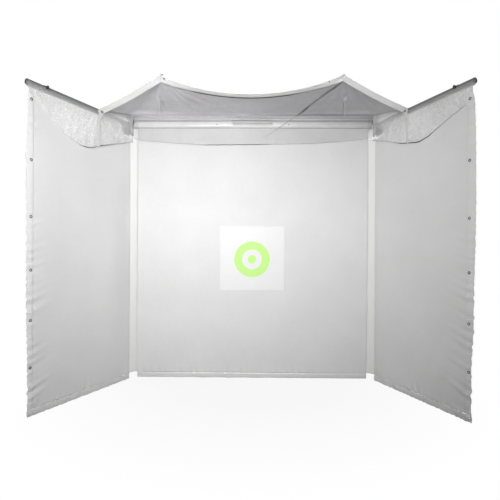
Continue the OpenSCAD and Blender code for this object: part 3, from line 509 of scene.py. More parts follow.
LOOKS = {
    # painted shade: the screen darkens towards its top
    "screen": cloth_look("screen_weave", 0.82, fade=(1.67, 2.32, 1.0, 0.91)),
    "wing": cloth_look("wing_weave", 0.985, pitch=0.0018, soil=0.06),
    "hem": cloth_look("hem_cloth", 0.88, CREAM, 0.0018, (0.006, 0.046), soil=0.04),
    "band": cloth_look("band_cloth", 0.88, CREAM, 0.0018, (0.004, 0.010, 0.040), soil=0.04),
    # painted light: the outer hems are a lighter, less clear copy of the hem cloth
    "outer": cloth_look("outer_hem_cloth", 0.99, CREAM, 0.0018, (0.003, 0.0395),
                        seam_on="u", soil=0.04, clear=0.04),
    "strip": cloth_look("strip_tape", 0.98, IVORY, 0.0024, (0.004, 0.078), seam_on="u",
                        sheen=0.5, soil=0.03, clear=0.02),
    "patch": cloth_look("patch_weave", 0.99, pitch=0.0012, soil=0.010, clear=0.06,
                        print_node=ring_target),
    "patch_edge": cloth_look("patch_edging", 0.95, pitch=0.0012, soil=0.02),
    # painted shade and light: the webbing of the side hems and straps is a darker copy, the middle
    # hem's a lighter one
    "webbing": cloth_look("webbing_weave", 0.72, IVORY, 0.0030, (0.005, 0.045), soil=0.03),
    "hem_webbing": cloth_look("hem_webbing_weave", 0.94, IVORY, 0.0030, (0.005, 0.045),
                              soil=0.03),
    # painted shade: the roof, the skirt and the inner and right side nets are darker copies of the
    # one white netting
    "roof": net_look("roof_net", 0.41, 0.97, 0.04, (1.01, 0.985, 1.03), lit_and_shaded_lines=ROOF_LIT_AND_SHADED_LINES,
                     painted_shade_along=(-0.1, 0.7, 1.0, 0.48), painted_light_band=(-0.115, 0.085, 1.83)),
    "side_in": net_look("side_net_inner", 0.90, 0.62, 0.08, lit_and_shaded_lines=SIDE_SHADED_PATCH,
                        thin_ends=(0.085, 0.125, 0.79), painted_shade_top=(-0.18, CORNER_Z, 0.100, 0.50)),
    "side_left": net_look("side_net_left", 0.98, 0.52, 0.12),
    "side_right": net_look("side_net_right", 0.90, 0.52, 0.12),
    "skirt": net_look("skirt_net", 0.63, 0.34, 0.06, lit_and_shaded_lines=SKIRT_SHADED_LINES,
                      painted_shade_along=(-0.1, 0.6, 1.0, 0.88), thin_above=-0.298,
                      dense_ends=(1.19, 1.21, 0.0, 0.5)),
    # the same dark yarn draws the net's edge cords and the painted shadow cord under the middle
    # webbing
    "cord": hard_look("edge_cord_yarn", 0.05, rough=0.8, wear=0.1, grain=0.6, bevel=0.0003),
    "aluminium": hard_look("case_aluminium", 0.62, COOL, 0.36, 0.1, metal=1.0, brushed=0),
    "beam": hard_look("beam_paint", 0.58, (1, 0.995, 1.0), 0.45, 0.1, brushed=0,
                      painted_shading=BEAM_PAINTED_LIGHT_AND_SHADE, fade=PAINTED_SHADE_TO_RIGHT),
    "fascia": hard_look("fascia_paint", 0.585, rough=0.34, wear=0.12, coat=0.15,
                        painted_shading=FASCIA_PAINTED_SHADE, fade=PAINTED_SHADE_TO_RIGHT),
    "joint_plate": hard_look("joint_plate_paint", 0.60, rough=0.34, wear=0.12, coat=0.15,
                             painted_shading=JOINT_PAINTED_LIGHT_AND_SHADE),
    "dark": hard_look("dark_paint", 0.22, BLUISH, 0.42, 0.25, grain=0.3),
    "steel": hard_look("zinc_steel", 0.50, COOL, 0.38, 0.15, metal=1.0),
    "black": hard_look("black_plastic", 0.012, BLUISH, 0.48, 0.12, grain=0.8),
    "arm": hard_look("arm_aluminium", 0.50, PALE, 0.5, 0.06, brushed=1, painted_shading=ARM_PAINTED_SHADE),
    "cap_left": cap_look(LEFT),
    "cap_right": cap_look(RIGHT),
    "white": hard_look("white_enamel", 0.95, rough=0.35, wear=0.1, bevel=0.0008),
    "grommet": hard_look("grommet_black_oxide", 0.02, COOL, 0.34, 0.1, bevel=0.0006),
    "eyelet": hard_look("eyelet_nickel", 0.12, COOL, 0.34, 0.2, metal=1.0, bevel=0.0006),
}


def both(*stems):
    return [f"{stem}_{tag}" for stem in stems for tag in SIDES.values()]


CAD_LOOKS = {
    "aluminium": ["rear_cover", "roller_tube", "hem_bar"],
    "beam": ["head_beam"],
    "fascia": both("fascia"),
    "joint_plate": ["fascia_joint_plate"],
    "dark": ["tubular_motor", *both("end_plate", "hinge_bracket", "arm_root")],
    "steel": ["ceiling_plates", "hanger_rods", "hanger_clips", "hinge_pins", "hinge_screws",
              "idler_pin", "idler_bearing"],
    "white": ["net_hooks"],
    "black": ["power_gland", "idler_plug", "drive_wheel", "crown_ring", "fascia_screws",
              *both("lock_knob")],
    "arm": both("arm_tube", "arm_end", "lock_saddle"),
    "cap_left": ["arm_cap_left"],
    "cap_right": ["arm_cap_right"],
    "grommet": both("wing_grommets"),
}
for look, names in CAD_LOOKS.items():
    for name in names:
        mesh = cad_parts[name].data
        mesh.materials.clear()
        mesh.materials.append(LOOKS[look])


# -------- mesh helpers


def finish_piece(obj, body=None, nodes=()):
    """Gives a piece its body and the CAD nodes that it replaces."""
    if body:
        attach(obj, body)
    if nodes:
        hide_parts(*nodes)
    return obj


def grid(name, p, uv, look, slot, body=None, nodes=(), thick=0.0):
    """Smooth piece over an array of points, rows by columns, with UV in metres."""
    m, n = p.shape[:2]
    i = np.arange(m * n).reshape(m, n)
    quads = np.stack([i[:-1, :-1], i[:-1, 1:], i[1:, 1:], i[1:, :-1]], -1).reshape(-1, 4)
    mesh = bpy.data.meshes.new(name)
    mesh.from_pydata(p.reshape(-1, 3).tolist(), [], quads.tolist())
    layer = mesh.uv_layers.new(name="UVMap")
    layer.data.foreach_set("uv", uv.reshape(-1, 2)[quads.ravel()].astype(np.float32).ravel())
    mesh.polygons.foreach_set("use_smooth", [True] * len(quads))
    mesh.materials.append(LOOKS[look])
    obj = bpy.data.objects.new(name, mesh)
    bpy.context.scene.collection.objects.link(obj)
    if thick:
        solid = obj.modifiers.new("thickness", "SOLIDIFY")
        solid.thickness = thick
        solid.offset = 0
    return finish_piece(obj, body, nodes)


def edge_cord(name, line, radius, body=None):
    """Cord of the net along a line of points; its radius may vary."""
    step = np.gradient(line, axis=0)
    step /= np.linalg.norm(step, axis=1)[:, None]
    side = np.cross(step, [0, 0, 1.0])
    side /= np.linalg.norm(side, axis=1)[:, None] + 1e-9
    up = np.cross(side, step)
    a = row(0, 2 * math.pi, 11)
    radius = np.broadcast_to(radius, len(line))[:, None, None]
    ring = side[:, None] * np.cos(a)[..., None] + up[:, None] * np.sin(a)[..., None]
    uv = points(run_along(line)[:, None], a * 0.003)
    return grid(name, line[:, None] + ring * radius, uv, "cord", "net", body)


def eyelet(name, centre, axis, body):
    """Flattened metal ring, its hole along the axis."""
    turn = Vector(axis).normalized().to_track_quat("Z", "Y").to_euler()
    bpy.ops.mesh.primitive_torus_add(major_radius=EYELET_R, minor_radius=EYELET_WIRE,
                                     major_segments=32, minor_segments=10,
                                     location=centre, rotation=turn)
    obj = bpy.context.object
    obj.name = name
    obj.scale.z = 0.55
    bpy.ops.object.transform_apply(location=True, rotation=True, scale=True)
    obj.data.polygons.foreach_set("use_smooth", [True] * len(obj.data.polygons))
    obj.data.materials.append(LOOKS["eyelet"])
    return finish_piece(obj, body)


# -------- screen


def roll_up(obj):
    """Gives a piece its own copy of its mesh."""
    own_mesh(obj)
    return obj


def screen_face():
    """Hanging cloth, nearly flat, with soft ripples at its sides and above the hem bar."""
    x = row(-SCREEN_X, SCREEN_X, 220)
    z = column(ROLLER_Z, CLOTH_LOW, 240)
    above = z - CLOTH_LOW
    side_edge = ease(np.abs(x), 0.9, SCREEN_X)
    y = 0.0009 * waves(x, z * 0.5, 0.9, 3)
    y = y + 0.0030 * side_edge * along(z + 0.05 * x, 0.35, 5) * ease(-z, 0.35, 0.9)
    y = y + ripples(0.0028, above, 0.055, x + 0.15 * above, 0.075, 8)
    y = y + ripples(0.0022, above, 0.35, x - 0.3 * above, 0.42, 9)
    y = y * ease(-z, 0.30, 0.42)
    behind_patch = (np.abs(x) < 0.36) & (np.abs(z - PATCH_Z) < 0.36)
    y = np.where(behind_patch, np.maximum(y, -0.0004), y)
    return roll_up(grid("screen_face", points(x, SCREEN_Y + y, z),
                        points(x + SCREEN_X, z - CLOTH_LOW), "screen", "screen_fabric", "root",
                        ["screen_cloth"], thick=0.0012))


def screen_roll():
    """Turns of cloth wound on the roller."""
    a = np.linspace(0, TURNS * 2 * math.pi, 120)
    r = TURNS_IN + (TURNS_OUT - TURNS_IN) * a / a[-1]
    a, r = a[:, None], r[:, None]
    x = row(-SCREEN_X, SCREEN_X, 24)
    r = r + 0.0003 * waves(x, a * 0.04, 0.5, 4)
    p = points(x, ROLLER_Y - r * np.cos(a), ROLLER_Z + r * np.sin(a))
    wrap = grid("screen_roll", p, points(x + SCREEN_X, a * 0.038), "screen", "screen_fabric",
                "roller", ["screen_wrap"], thick=0.0008)


def hem_sleeve():
    """Sleeve of the screen's hem round the stiffening bar, puckered at its seam."""
    half = HEM_H / 2 + 0.0005
    x = column(-SLEEVE_X, SLEEVE_X, 420)
    t = np.linspace(0, 2 * math.pi, 41)
    pucker = along(x, 0.05, 14)
    oval = np.sign(np.sin(t)) * np.abs(np.sin(t)) ** 0.8
    topmost, lowest = ease(np.cos(t), 0.3, 0.98), ease(-np.cos(t), 0.2, 0.98)
    depth = SLEEVE_R * oval * (1 + 0.10 * pucker * topmost) * (1 - 0.55 * topmost)
    sag = lowest * 0.0012 * (1 + along(x, 0.3, 15))
    rise = half * np.cos(t) + 0.0016 * pucker * topmost - sag
    across = np.cumsum(np.hypot(np.gradient(SLEEVE_R * oval), np.gradient(half * np.cos(t))))
    sleeve = grid("screen_hem_sleeve", points(x, SCREEN_Y + depth, HEM_Z + rise),
                  points(x + SLEEVE_X, across[None, :] % 0.0525), "hem", "hem_fabric",
                  "screen", ["screen_hem"], thick=0.0008)


def make_screen():
    cloth = screen_face()
    screen_roll()
    hem_sleeve()


def patch_edging():
    """Sewn-on edging, a flat tube round the square patch."""
    half, steps = PATCH_W / 2 - EDGING_W, 60
    corner = half * np.array([(-1, -1), (1, -1), (1, 1), (-1, 1), (-1, -1)])
    share = np.arange(steps)[:, None] / steps
    line = np.concatenate([q0 + (q1 - q0) * share for q0, q1 in zip(corner, corner[1:])]
                          + [corner[:1]])
    out = line / np.abs(line).max(axis=1)[:, None]
    out = out / np.maximum(np.linalg.norm(out, axis=1), 1)[:, None]
    t = row(0, 2 * math.pi, 13)
    run = (np.arange(len(line)) * (2 * half / steps))[:, None]
    wave = 1 + 0.15 * along(run, 0.03, 33)
    p = points(line[:, 0:1] + out[:, 0:1] * EDGING_W * np.cos(t),
               PATCH_Y - 0.0019 + EDGING_H * np.sin(t) * wave,
               PATCH_Z + line[:, 1:2] + out[:, 1:2] * EDGING_W * np.cos(t))
    return roll_up(grid("patch_edging", p, points(run, t * 0.003), "patch_edge",
                        "patch_fabric", "root"))


def make_patch():
    """Square target patch on the screen, with its edging."""
    s = np.linspace(-0.5, 0.5, 90)
    x, z = s[None, :] * PATCH_W, PATCH_Z + s[:, None] * PATCH_W
    slack = ease(0.5 - np.abs(s), 0, 0.04)
    slack = slack[None, :] * slack[:, None]
    y = PATCH_Y - 0.0008 - slack * (0.0009 + 0.0007 * waves(x, z, 0.22, 31))
    patch = roll_up(grid("patch_face", points(x, y, z),
                         points(x + PATCH_W / 2, z - PATCH_Z + PATCH_W / 2), "patch",
                         "patch_fabric", "root", ["target_patch"], thick=0.0006))
    edging = patch_edging()


# -------- wings

# First seeds of the ripples in each wing
FOLD_SEED = {LEFT: 40, RIGHT: 60}
WING_SEED = {LEFT: 70, RIGHT: 90}


def near_grommets(z, reach):
    """1 close to a grommet, falling to 0 about reach away."""
    total = np.zeros(np.shape(z))
    for g in GROMMETS:
        total = np.maximum(total, np.exp(-(((z - g) / reach) ** 4)))
    return total


def wing_fold(side, x, z):
    """How far the wing's cloth stands to the inner side of its plane."""
    seed = FOLD_SEED[side]
    t = np.clip((z - CLOTH_TOP) / (BOTTOM - CLOTH_TOP), 0, 1)
    n = 0.0045 * np.sin(x / WING_END * 3 * math.pi + 0.3 * side) * np.sin(math.pi * t)
    n = n + 0.0030 * np.sin(math.pi * t) * waves(x, z * 0.35, 0.5, seed)
    # gathers at the outer hem, then at the bottom hem and below the band
    out, up, down = WING_END - HEM_W - x, z - CLOTH_LOW, CLOTH_TOP - z
    slack = 0.35 + 0.65 * ease(t, 0.25, 0.8)
    n = n + slack * ripples(0.0040, out, 0.075, z - 0.35 * out, 0.095, seed + 1)
    n = n + slack * ripples(0.0022, out, 0.22, z - 0.8 * out, 0.24, seed + 2)
    n = n + ripples(0.0030, up, 0.06, x + 0.2 * up, 0.07, seed + 3)
    n = n + ripples(0.0025, up, 0.30, x - 0.4 * up, 0.3, seed + 4)
    n = n + ripples(0.0012, down, 0.08, x, 0.08, seed + 5)
    held = near_grommets(z, 0.030) * np.exp(-np.maximum(out, 0) / 0.05)
    return n * ease(x, 0.0, 0.05) * (1 - held) * ease(-z, 0.350, 0.385)


def wing_face(side, tag, arm):
    """Main cloth of a wing, its inner top corner cut away below the hinge."""
    z = np.concatenate([np.linspace(-0.345, NOTCH_Z, 10)[:-1],
                        np.linspace(NOTCH_Z, CLOTH_LOW + 0.002, 230)])[:, None]
    cut = np.clip((z - NOTCH_Z) / (NOTCH_TOP - NOTCH_Z), 0, 1)
    start = WING_IN + (NOTCH_X - WING_IN) * cut
    x = start + (WING_END - HEM_W + 0.010 - start) * row(0, 1, 120)
    n = wing_fold(side, x, z)
    return grid(f"wing_face_{tag}", on_arm(side, x, n, z), points(x, z - CLOTH_LOW), "wing",
                "wing_fabric", arm, [f"wing_cloth_{tag}"], thick=0.0012)


def band_section():
    """Section of the band, (n, z), from its lower edge round the bead in the arm's rail."""
    skin = [(0.0013, BAND_LOW + 0.001), (0.0021, BAND_LOW + 0.006), (0.0021, BAND_TOP - 0.007),
            (0.0013, BAND_TOP), (0.0012, RAIL_Z - 0.0040)]
    a = np.radians(np.linspace(252, -72, 15))
    bead = [(BEAD_R * math.cos(k), RAIL_Z + BEAD_R * math.sin(k)) for k in a]
    path = np.array([(-n, z) for n, z in skin] + bead + skin[::-1] + [(-skin[0][0], skin[0][1])])
    dense = [path[0]]
    for q0, q1 in zip(path, path[1:]):
        steps = max(1, int(np.hypot(*(q1 - q0)) / 0.006))
        dense += [q0 + (q1 - q0) * k / steps for k in range(1, steps + 1)]
    return np.array(dense).T[:, None, :]


def wing_band(side, tag, arm, seed):
    """Band that carries the wing on its arm."""
    section_n, section_z = band_section()
    x = column(NOTCH_X, WING_END, 300)
    loose = ease(-section_z, 0.316, 0.330)
    n = section_n * (1 + 0.25 * loose * along(x, 0.03, seed))
    n = n + 0.0010 * loose * along(x, 0.12, seed + 1)
    lowest = ease(-section_z, 0.350, 0.364)
    z = section_z - 0.0010 * lowest * (1 + along(x, 0.05, seed + 2))
    band = grid(f"wing_band_cloth_{tag}", on_arm(side, x, n, z),
                points(x, section_z - BAND_LOW), "band", "hem_fabric", arm, [f"wing_band_{tag}"])


def round_hem():
    """Cosine and sine of the way round a hem's section."""
    t = row(0, 2 * math.pi, 33)
    return np.cos(t), np.sin(t)


def outer_hem(side, tag, arm, seed):
    """Gathered hem with the grommets, flat where they hold it and puffed between them."""
    z = column(CLOTH_TOP, BOTTOM + 0.004, 640)
    cos, sin = round_hem()
    hold = near_grommets(z, 0.019)
    slack = (0.35 + 0.65 * ease(-z, 1.0, 1.9)) * (1 - hold)
    gather, small = along(z, 0.062, seed + 3), along(z, 0.024, seed + 4)
    width = HEM_W / 2 + 0.0006 + 0.0022 * slack * gather * ease(cos, -0.2, 0.4)
    puff = 0.0024 + 0.0020 * (1 - hold) + 0.0018 * slack * np.abs(gather)
    bulge = lookup(-z, HEM_BULGE[side]) * ease(cos, 0, 1)
    x = GROMMET_X + width * cos + 0.0012 * slack * small + bulge
    seat = wing_fold(side, WING_END - HEM_W + 0.004 + 0 * z, z)
    n = puff * sin * (1 - 0.30 * ease(-cos, 0.5, 1.0)) + seat
    n = n + 0.0014 * slack * small * cos
    hem = grid(f"outer_hem_{tag}", on_arm(side, x, n, z), points(HEM_W * (1 - cos) / 2, z),
               "outer", "hem_fabric", arm, [f"wing_outer_hem_{tag}"])


def bottom_hem(side, tag, arm, seed):
    """Puckered hem along the wing's bottom."""
    x = column(WING_IN, WING_END + 0.002, 380)
    cos, sin = round_hem()
    gather, small = along(x, 0.055, seed + 6), along(x, 0.021, seed + 7)
    puff = 0.0045 + 0.0016 * np.abs(gather)
    n = puff * sin * (1 - 0.5 * ease(cos, 0.3, 0.95))
    n = n + 0.0030 * along(x, 0.14, seed + 8)
    z = HEM_Z + (HEM_H / 2 + 0.0006) * cos + 0.0016 * gather * cos + 0.0007 * small
    hem = grid(f"bottom_hem_{tag}", on_arm(side, x, n, z), points(x, HEM_H * (1 - cos) / 2),
               "hem", "hem_fabric", arm, [f"wing_bottom_hem_{tag}"])


def corner_strip(side, tag, arm, seed):
    """Strip across the corner from the wing to the screen's edge."""
    edge = np.array([PIVOT_X - SCREEN_X, SCREEN_Y - 0.0008 - PIVOT_Y])
    turn = math.atan2(edge[1], edge[0]) - 1.5 * math.pi + SPLAY[side]
    reach = np.hypot(*edge) - 0.0012
    z = column(STRIP_TOP, CLOTH_LOW + 0.008, 200)
    d = row(-0.0023, reach - 0.0005, 14)
    off = 0.0014 * ease(d, 0, 0.02) * ease(reach - d, 0, 0.02) * along(z, 0.33, seed + 9)
    x = d * math.cos(turn) - off * math.sin(turn)
    n = d * math.sin(turn) + off * math.cos(turn)
    strip = grid(f"corner_strip_cloth_{tag}", on_arm(side, x, n, z), points(d, z), "strip",
                 "strip_fabric", arm, [f"corner_strip_{tag}"], thick=0.0018)


def make_wing(side):
    tag = SIDES[side]
    place = (side, tag, tag + "_arm", WING_SEED[side])
    cloth = wing_face(*place[:3])
    wing_band(*place)
    outer_hem(*place)
    bottom_hem(*place)
    corner_strip(*place)


# -------- net roof


def corner(side):
    return np.array([side * CORNER_X, CORNER_Y, CORNER_Z])


def strap_point(side):
    return on_arm(side, STRAP[side], 0.0, STRAP_TOP)


def net_blend(obj, side):
    """Bakes a piece's transform into its mesh.

    It works out the way from the line between corner and hook towards the strap, but does not use
    it.
    """
    c, h, s = corner(side), TIPS[side], strap_point(side)
    away = np.array([-(h - c)[1], (h - c)[0], 0.0])
    away /= np.linalg.norm(away)
    if (s - c) @ away < 0:
        away = -away
    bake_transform(obj)


def net_ripple(x, y):
    """Creases that run out from the two ceiling hooks, with a loose crumple over all."""
    total = 0.0022 * waves(x, y, 0.22, 120) + 0.0012 * waves(x, y, 0.08, 121)
    for side in SIDES:
        dx, dy = x - side * HOOK_X, y - HOOK_Y
        r = np.hypot(dx, dy)
        fan = ripples(0.0052, r, 0.55, np.arctan2(dy, -side * dx), 0.42, 130 + side)
        total = total + fan * ease(r, 0.0, 0.12)
    return total


def front_line(side, a):
    """Front edge from the arm's strap (a = 0) to the ceiling hook (a = 1)."""
    straight = strap_point(side) * (1 - a[:, None]) + TIPS[side] * a[:, None]
    return straight - points(0, 0, SIDE_SAG * np.sin(math.pi * a))


def middle_line(s):
    """Front edge between the two hooks."""
    straight = TIPS[LEFT] * (1 - s[:, None]) + TIPS[RIGHT] * s[:, None]
    return straight - points(0, 0, NET_SAG * (4 * s * (1 - s)) ** 0.92)


def hem_way(fall):
    """Direction of the webbing away from the net's front edge; fall 0 is back, 1 is down."""
    fall = np.asarray(fall, float)[:, None]
    way = HEM_BACK * (1 - fall) + HEM_DOWN * fall
    return way / np.linalg.norm(way, axis=1)[:, None]


def middle_fall(s):
    """How steeply the webbing hangs between the hooks."""
    return 0.10 + 0.52 * (2 * np.abs(s - 0.5)) ** 4


def make_hem(name, line, fall, seed, look, *body_and_nodes):
    """Webbing sewn along the net's front edge; fall is how steeply it hangs."""
    w = row(-0.10, 1, 10)
    run = run_along(line)[:, None]
    curl = along(run, 0.30, seed) * 0.003 * np.sin(math.pi * np.clip(w, 0, 1))
    down = hem_way(fall)[:, None] * (WEBBING_W * w)[..., None]
    p = line[:, None] + down + HEM_OUT * (0.0022 + curl[..., None])
    return grid(name, p, points(run, WEBBING_W * w), look, "webbing", *body_and_nodes,
                thick=0.0012)


def roof_middle():
    """Slack net between the head unit and the two hooks, with its webbing, eyelets and a dark cord
    of painted shadow.
    """
    b = column(0, 1, 70)
    s = np.linspace(0, 1, 220)
    rear = points(CORNER_X * (2 * s - 1), CORNER_Y, CORNER_Z)
    p = rear[None] * (1 - b)[..., None] + middle_line(s)[None] * b[..., None]
    p[..., 2] += net_ripple(p[..., 0], p[..., 1]) * np.sin(math.pi * b)
    roof = grid("net_roof_middle", p, p[..., :2].copy(), "roof", "net", "root", ["net_roof"])
    s = np.linspace(0, 1, 300)
    hem = make_hem("net_hem_middle", middle_line(s), middle_fall(s), 150, "hem_webbing", "root",
                   ["net_hem"])
    # a dark cord under the middle webbing that paints the shadow beneath it, thicker along its
    # middle
    s = np.linspace(0.08, 0.92, 200)
    line = middle_line(s) + hem_way(middle_fall(s)) * SHADOW_CORD_DOWN + SHADOW_CORD_OUT
    thick = 0.0008 + 0.0046 * ease(s, 0.13, 0.24) * (1 - ease(s, 0.68, 0.80))
    hems = [hem, edge_cord("painted_shadow_cord_middle", line, thick, "root")]
    for side in SIDES:
        s = np.array([EYELET_AT[side]])
        way = hem_way(middle_fall(s))[0]
        at = middle_line(s)[0] + way * 0.008 + HEM_OUT * 0.0034
        hems.append(eyelet(f"hem_eyelet_{SIDES[side]}", at, (0, way[2], -way[1]), "root"))


def roof_side(side):
    """Triangle of net between the head unit's corner, the hook and the strap on the arm."""
    tag = SIDES[side]
    a, b = np.linspace(0, 1, 60), column(0, 1, 70)
    c = corner(side)
    p = c + (front_line(side, a) - c)[None] * b[..., None]
    fade = ease(a, 0, 0.25)[None] * np.sin(math.pi * b)
    p[..., 2] += net_ripple(p[..., 0], p[..., 1]) * fade
    part = grid(f"net_roof_{tag}", p, p[..., :2].copy(), "roof", "net")
    net_blend(part, side)
    line = front_line(side, np.linspace(0, 1, 110))
    hem = make_hem(f"net_hem_{tag}", line, np.full(110, 0.62), 152 + side, "webbing")
    net_blend(hem, side)
    at = on_arm(side, STRAP[side] + 0.004, ARM_R + 0.0062, ARM_Z - 0.001)
    inward = on_arm(side, 0, 1, 0) - on_arm(side, 0, 0, 0)
    eye = eyelet(f"strap_eyelet_{tag}", at, inward, tag + "_arm")


# -------- side nets

# Share of the inner side net over the arm, and the height of the arm's shoulder
OVER, SHOULDER_Z = 0.16, ARM_Z + 0.012
# Distance of the side nets from the arm's middle: inner top edge, shoulder, outer top edge, low
EDGE_N, SHOULDER_N, OUTER_N, LOW_N = 0.021, 0.0285, 0.0095, 0.0125
OUTER_TOP = BAND_TOP - 0.004


def seam_lean(side, z):
    """How far the seam between the two side nets stands nearer to the arm's tip."""
    return SEAM_LEAN[side] * ease(-z, 0.295, 0.345)


def over_arm(side, x, w, low):
    """Inner side net, (n, z): from its top edge over the arm's shoulder, then straight down."""
    b = np.clip(x / STRAP[side], 0, 1)
    edge_n = EDGE_N * (1 - b)
    edge_z = CORNER_Z * (1 - b) + STRAP_TOP * b
    turn = np.clip(w / OVER, 0, 1) * math.pi / 2
    lower = np.clip((w - OVER) / (1 - OVER), 0, 1)
    n = np.where(w > OVER, SHOULDER_N + (LOW_N - SHOULDER_N) * lower,
                 edge_n + (SHOULDER_N - edge_n) * np.sin(turn))
    z = np.where(w > OVER, SHOULDER_Z + (low - SHOULDER_Z) * lower,
                 edge_z + (SHOULDER_Z - edge_z) * (1 - np.cos(turn)))
    past_hinge = ease(-x, 0.0, 0.027)
    return n - np.where(w > OVER, n - LOW_N, SHOULDER_N - LOW_N) * past_hinge, z


def side_panel(side, name, x0, x1, columns, *body_and_nodes):
    """Net between two places along the arm, from its top edge down to the dark edge cord."""
    inner = x1 < STRAP[side]
    x = row(x0, x1, columns)
    w = column(0, 1, 60)
    low = lookup(x, SIDE_LOW[side])
    if inner:
        n, z = over_arm(side, x, w, low)
        loose = ease(w, OVER + 0.05, 0.5) * ease(x, 0.0, 0.06)
    else:
        n = OUTER_N + (LOW_N - OUTER_N) * w + (0.0135 - 0.0115 * w) * np.exp(-(x - x0) / 0.03)
        z = OUTER_TOP + (low - OUTER_TOP) * w
        loose = ease(w, 0.0, 0.3)
    # creases fan out from the strap, and the free edge hangs in soft gathers
    seed, height = (160, 0.0024) if side == LEFT else (170, 0.0018)
    dx, dz = x - STRAP[side], z - (ARM_Z + ARM_R)
    ripple = ripples(height, np.hypot(dx, dz), 0.5, np.arctan2(dx, -dz), 0.33, seed)
    ripple = ripple + 0.0018 * along(x, 0.11, seed + 1) * w
    ripple = ripple + 0.0012 * waves(x, z, 0.06, seed + 2)
    n = n + loose * np.maximum(ripple, -0.0022)
    share = (x - x0) / (x1 - x0)
    place = x + seam_lean(side, z) * (share if inner else 1 - share)
    p, look = on_arm(side, place, n, z), "side_in" if inner else "side_" + SIDES[side]
    return grid(name, p, points(x, z), look, "net", *body_and_nodes), p[-1]


def inner_side_net(side, tag):
    """Side net from the hinge to the strap."""
    s = STRAP[side]
    inner, edge = side_panel(side, f"net_side_inner_{tag}", SIDE_START, s - STRAP_HALF, 120,
                             None, [f"net_side_{tag}"])
    net_blend(inner, side)
    thick = 0.0011 + 0.0022 * ease(np.linspace(0, 1, len(edge)), 0.55, 1.0)
    cord = edge_cord(f"net_edge_inner_{tag}", edge, thick)
    net_blend(cord, side)


def outer_side_net(side, tag):
    """Side net from the strap to the arm's tip, which rides on the arm."""
    s, arm = STRAP[side], tag + "_arm"
    outer, edge = side_panel(side, f"net_side_outer_{tag}", s + STRAP_HALF, SIDE_END, 200, arm)
    x = np.linspace(s + STRAP_HALF, SIDE_END, len(edge))
    faint, reach = (0.0001, 0.16) if side == LEFT else (0.0011, 0.20)
    thick = faint + 0.0026 * np.exp(-(((x - s - 0.10) / reach) ** 2))
    cord = edge_cord(f"net_edge_outer_{tag}", edge, thick, arm)


def make_strap(side, tag):
    """Webbing over the arm, and the seam tape down from it between the side nets."""
    a = np.radians(np.linspace(174, 8, 26))
    share = np.linspace(0, 1, 50)[1:]
    z_low = float(lookup(STRAP[side], SIDE_LOW[side])) - 0.004
    n = np.concatenate([STRAP_OVER * np.cos(a), STRAP_SIDE + (STRAP_LOW - STRAP_SIDE) * share])
    z = ARM_Z + np.concatenate([STRAP_OVER * np.sin(a), (z_low - ARM_Z) * share])
    run = run_along(np.stack([n, z], -1))
    width = STRAP_W + (TAPE_W - STRAP_W) * ease(run, 0.075, 0.125)
    spread = np.interp(run, [0.045, 0.085, 0.125], [*STRAP_SPREAD[side], 0.0])
    n = n + 0.0012 * along(run, 0.12, 180 + side) * ease(run, 0.08, 0.2)
    middle = STRAP[side] + seam_lean(side, z)
    c, width = row(-1, 1, 9), width[:, None]
    x = middle[:, None] + width * c + spread[:, None] * np.maximum(c, 0)
    strap = grid(f"net_strap_cloth_{tag}", on_arm(side, x, n[:, None], z[:, None]),
                 points(run[:, None], 0.025 + width * c), "webbing", "webbing",
                 tag + "_arm", [f"net_strap_{tag}"], thick=0.0016)


def make_skirt():
    """Front net over the head unit, with its lower edge cord."""
    x = row(-SKIRT_X, SKIRT_X, 420)
    fall = np.array(SKIRT_FALL)
    run = run_along(fall)
    steps = column(0, run[-1], 34)
    upper = points(x, np.interp(steps, run, fall[:, 0]), np.interp(steps, run, fall[:, 1]))
    w = np.linspace(0, 1, 36)[1:, None]
    z = fall[-1, 1] + (lookup(x, SKIRT_LOW) - fall[-1, 1]) * w
    y = SKIRT_Y + 0.0038 * w * along(x, 0.16, 190) + 0.0013 * w * waves(x, z, 0.07, 191)
    p = np.concatenate([upper, points(x, y, z)])
    skirt = grid("net_skirt", p, points(x, p[..., 2]), "skirt", "net", "root",
                 ["net_front_skirt"])
    dark = ease(x[0], -0.56, -0.46) * (1 - ease(x[0], 0.10, 0.20))
    cord = edge_cord("net_edge_front", p[-1], 0.0007 + 0.0013 * dark, "root")


make_screen()
make_patch()
for side in SIDES:
    make_wing(side)
roof_middle()
for side in SIDES:
    roof_side(side)
for side, tag in SIDES.items():
    inner_side_net(side, tag)
    outer_side_net(side, tag)
    make_strap(side, tag)
make_skirt()


# -------- floor, light and camera


def in_sight(g):
    """1 for the rays by which the camera sees, straight, mirrored or through something clear."""
    path = g.add("LightPath").outputs
    seen = g.math("MAXIMUM", path["Is Camera Ray"], path["Is Glossy Ray"])
    return g.math("MAXIMUM", seen, path["Is Transmission Ray"])


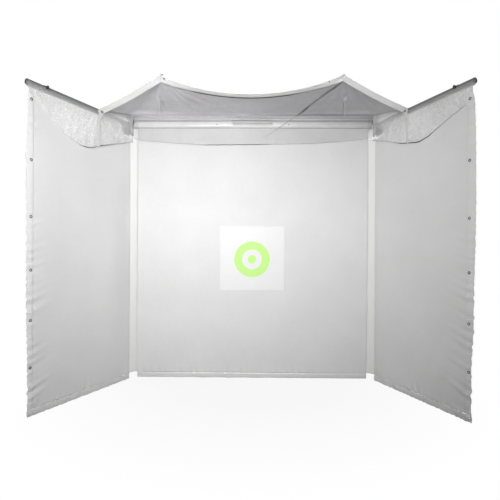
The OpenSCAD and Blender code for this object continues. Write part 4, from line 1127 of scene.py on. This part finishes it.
def white_for_camera(name, colour, keep, near, far):
    """Pale floor: plain paint for the light, white to the eye, with some shadow left near it."""
    g = Nodes(bpy.data.materials.new(name))
    away = g.add("VectorMath", {0: g.add("NewGeometry").outputs["Position"],
                                1: (0, 0.3, BOTTOM)}, operation="DISTANCE").outputs["Value"]
    plain = g.add("BsdfDiffuse", {"Color": grey(colour)})
    white = g.add("Emission", {"Color": grey(1.0), "Strength": 1.0})
    share = g.times(in_sight(g), g.span(away, near, far, 1 - keep, 1.0))
    return g.finish(g.add("MixShader", {0: share, 1: plain, 2: white}))


bpy.ops.mesh.primitive_plane_add(size=40, location=(0, 6, BOTTOM - 0.06))
floor = bpy.context.object
floor.name = "floor"
floor.data.materials.append(white_for_camera("floor_paint", 0.45, 0.10, 1.0, 2.4))

world = bpy.data.worlds.new("studio")
bpy.context.scene.world = world
sky = Nodes(world, "OutputWorld")
air = sky.add("Background", {"Color": grey(1.0), "Strength": 0.11})
backdrop = sky.add("Background", {"Color": grey(1.0), "Strength": 1.0})
sky.finish(sky.add("MixShader", {0: in_sight(sky), 1: air, 2: backdrop}))


def lamp(name, place, target, size, power, spread):
    """Round area lamp aimed at a target, with its power in watts and its spread in degrees."""
    light = bpy.data.lights.new(name, "AREA")
    light.shape = "DISK"
    light.size = size
    light.energy = power
    light.spread = math.radians(spread)
    obj = bpy.data.objects.new(name, light)
    bpy.context.scene.collection.objects.link(obj)
    obj.location = place
    obj.rotation_euler = (Vector(target) - Vector(place)).to_track_quat("-Z", "Y").to_euler()


lamp("key", (-0.45, -4.6, -0.65), (-0.55, 0, -0.95), 1.4, 67.5, 92)
lamp("fill", (1.6, -4.6, -0.7), (0.2, 0, -1.2), 2.2, 5, 130)
lamp("side", (-1.2, -4.5, -0.6), (1.5, -0.5, -0.8), 1.2, 1.3, 60)
lamp("back", (0.8, 5.6, -1.0), (0.1, 0, -1.4), 2.4, 75, 110)

# The photograph's camera, fitted to the corners of screen, wings, arms and head unit
camera = bpy.data.cameras.new("photo_camera")
camera.sensor_width = 36
camera.lens = 28.8
camera.shift_y = 0.0124
camera.clip_start, camera.clip_end = 0.05, 100
eye = bpy.data.objects.new("photo_camera", camera)
bpy.context.scene.collection.objects.link(eye)
eye.location = (0.020, -4.2745, -1.640)
eye.rotation_euler = (math.radians(90), math.radians(-0.31), math.radians(0.566))
bpy.context.scene.camera = eye
bpy.context.scene.view_settings.view_transform = "Standard"
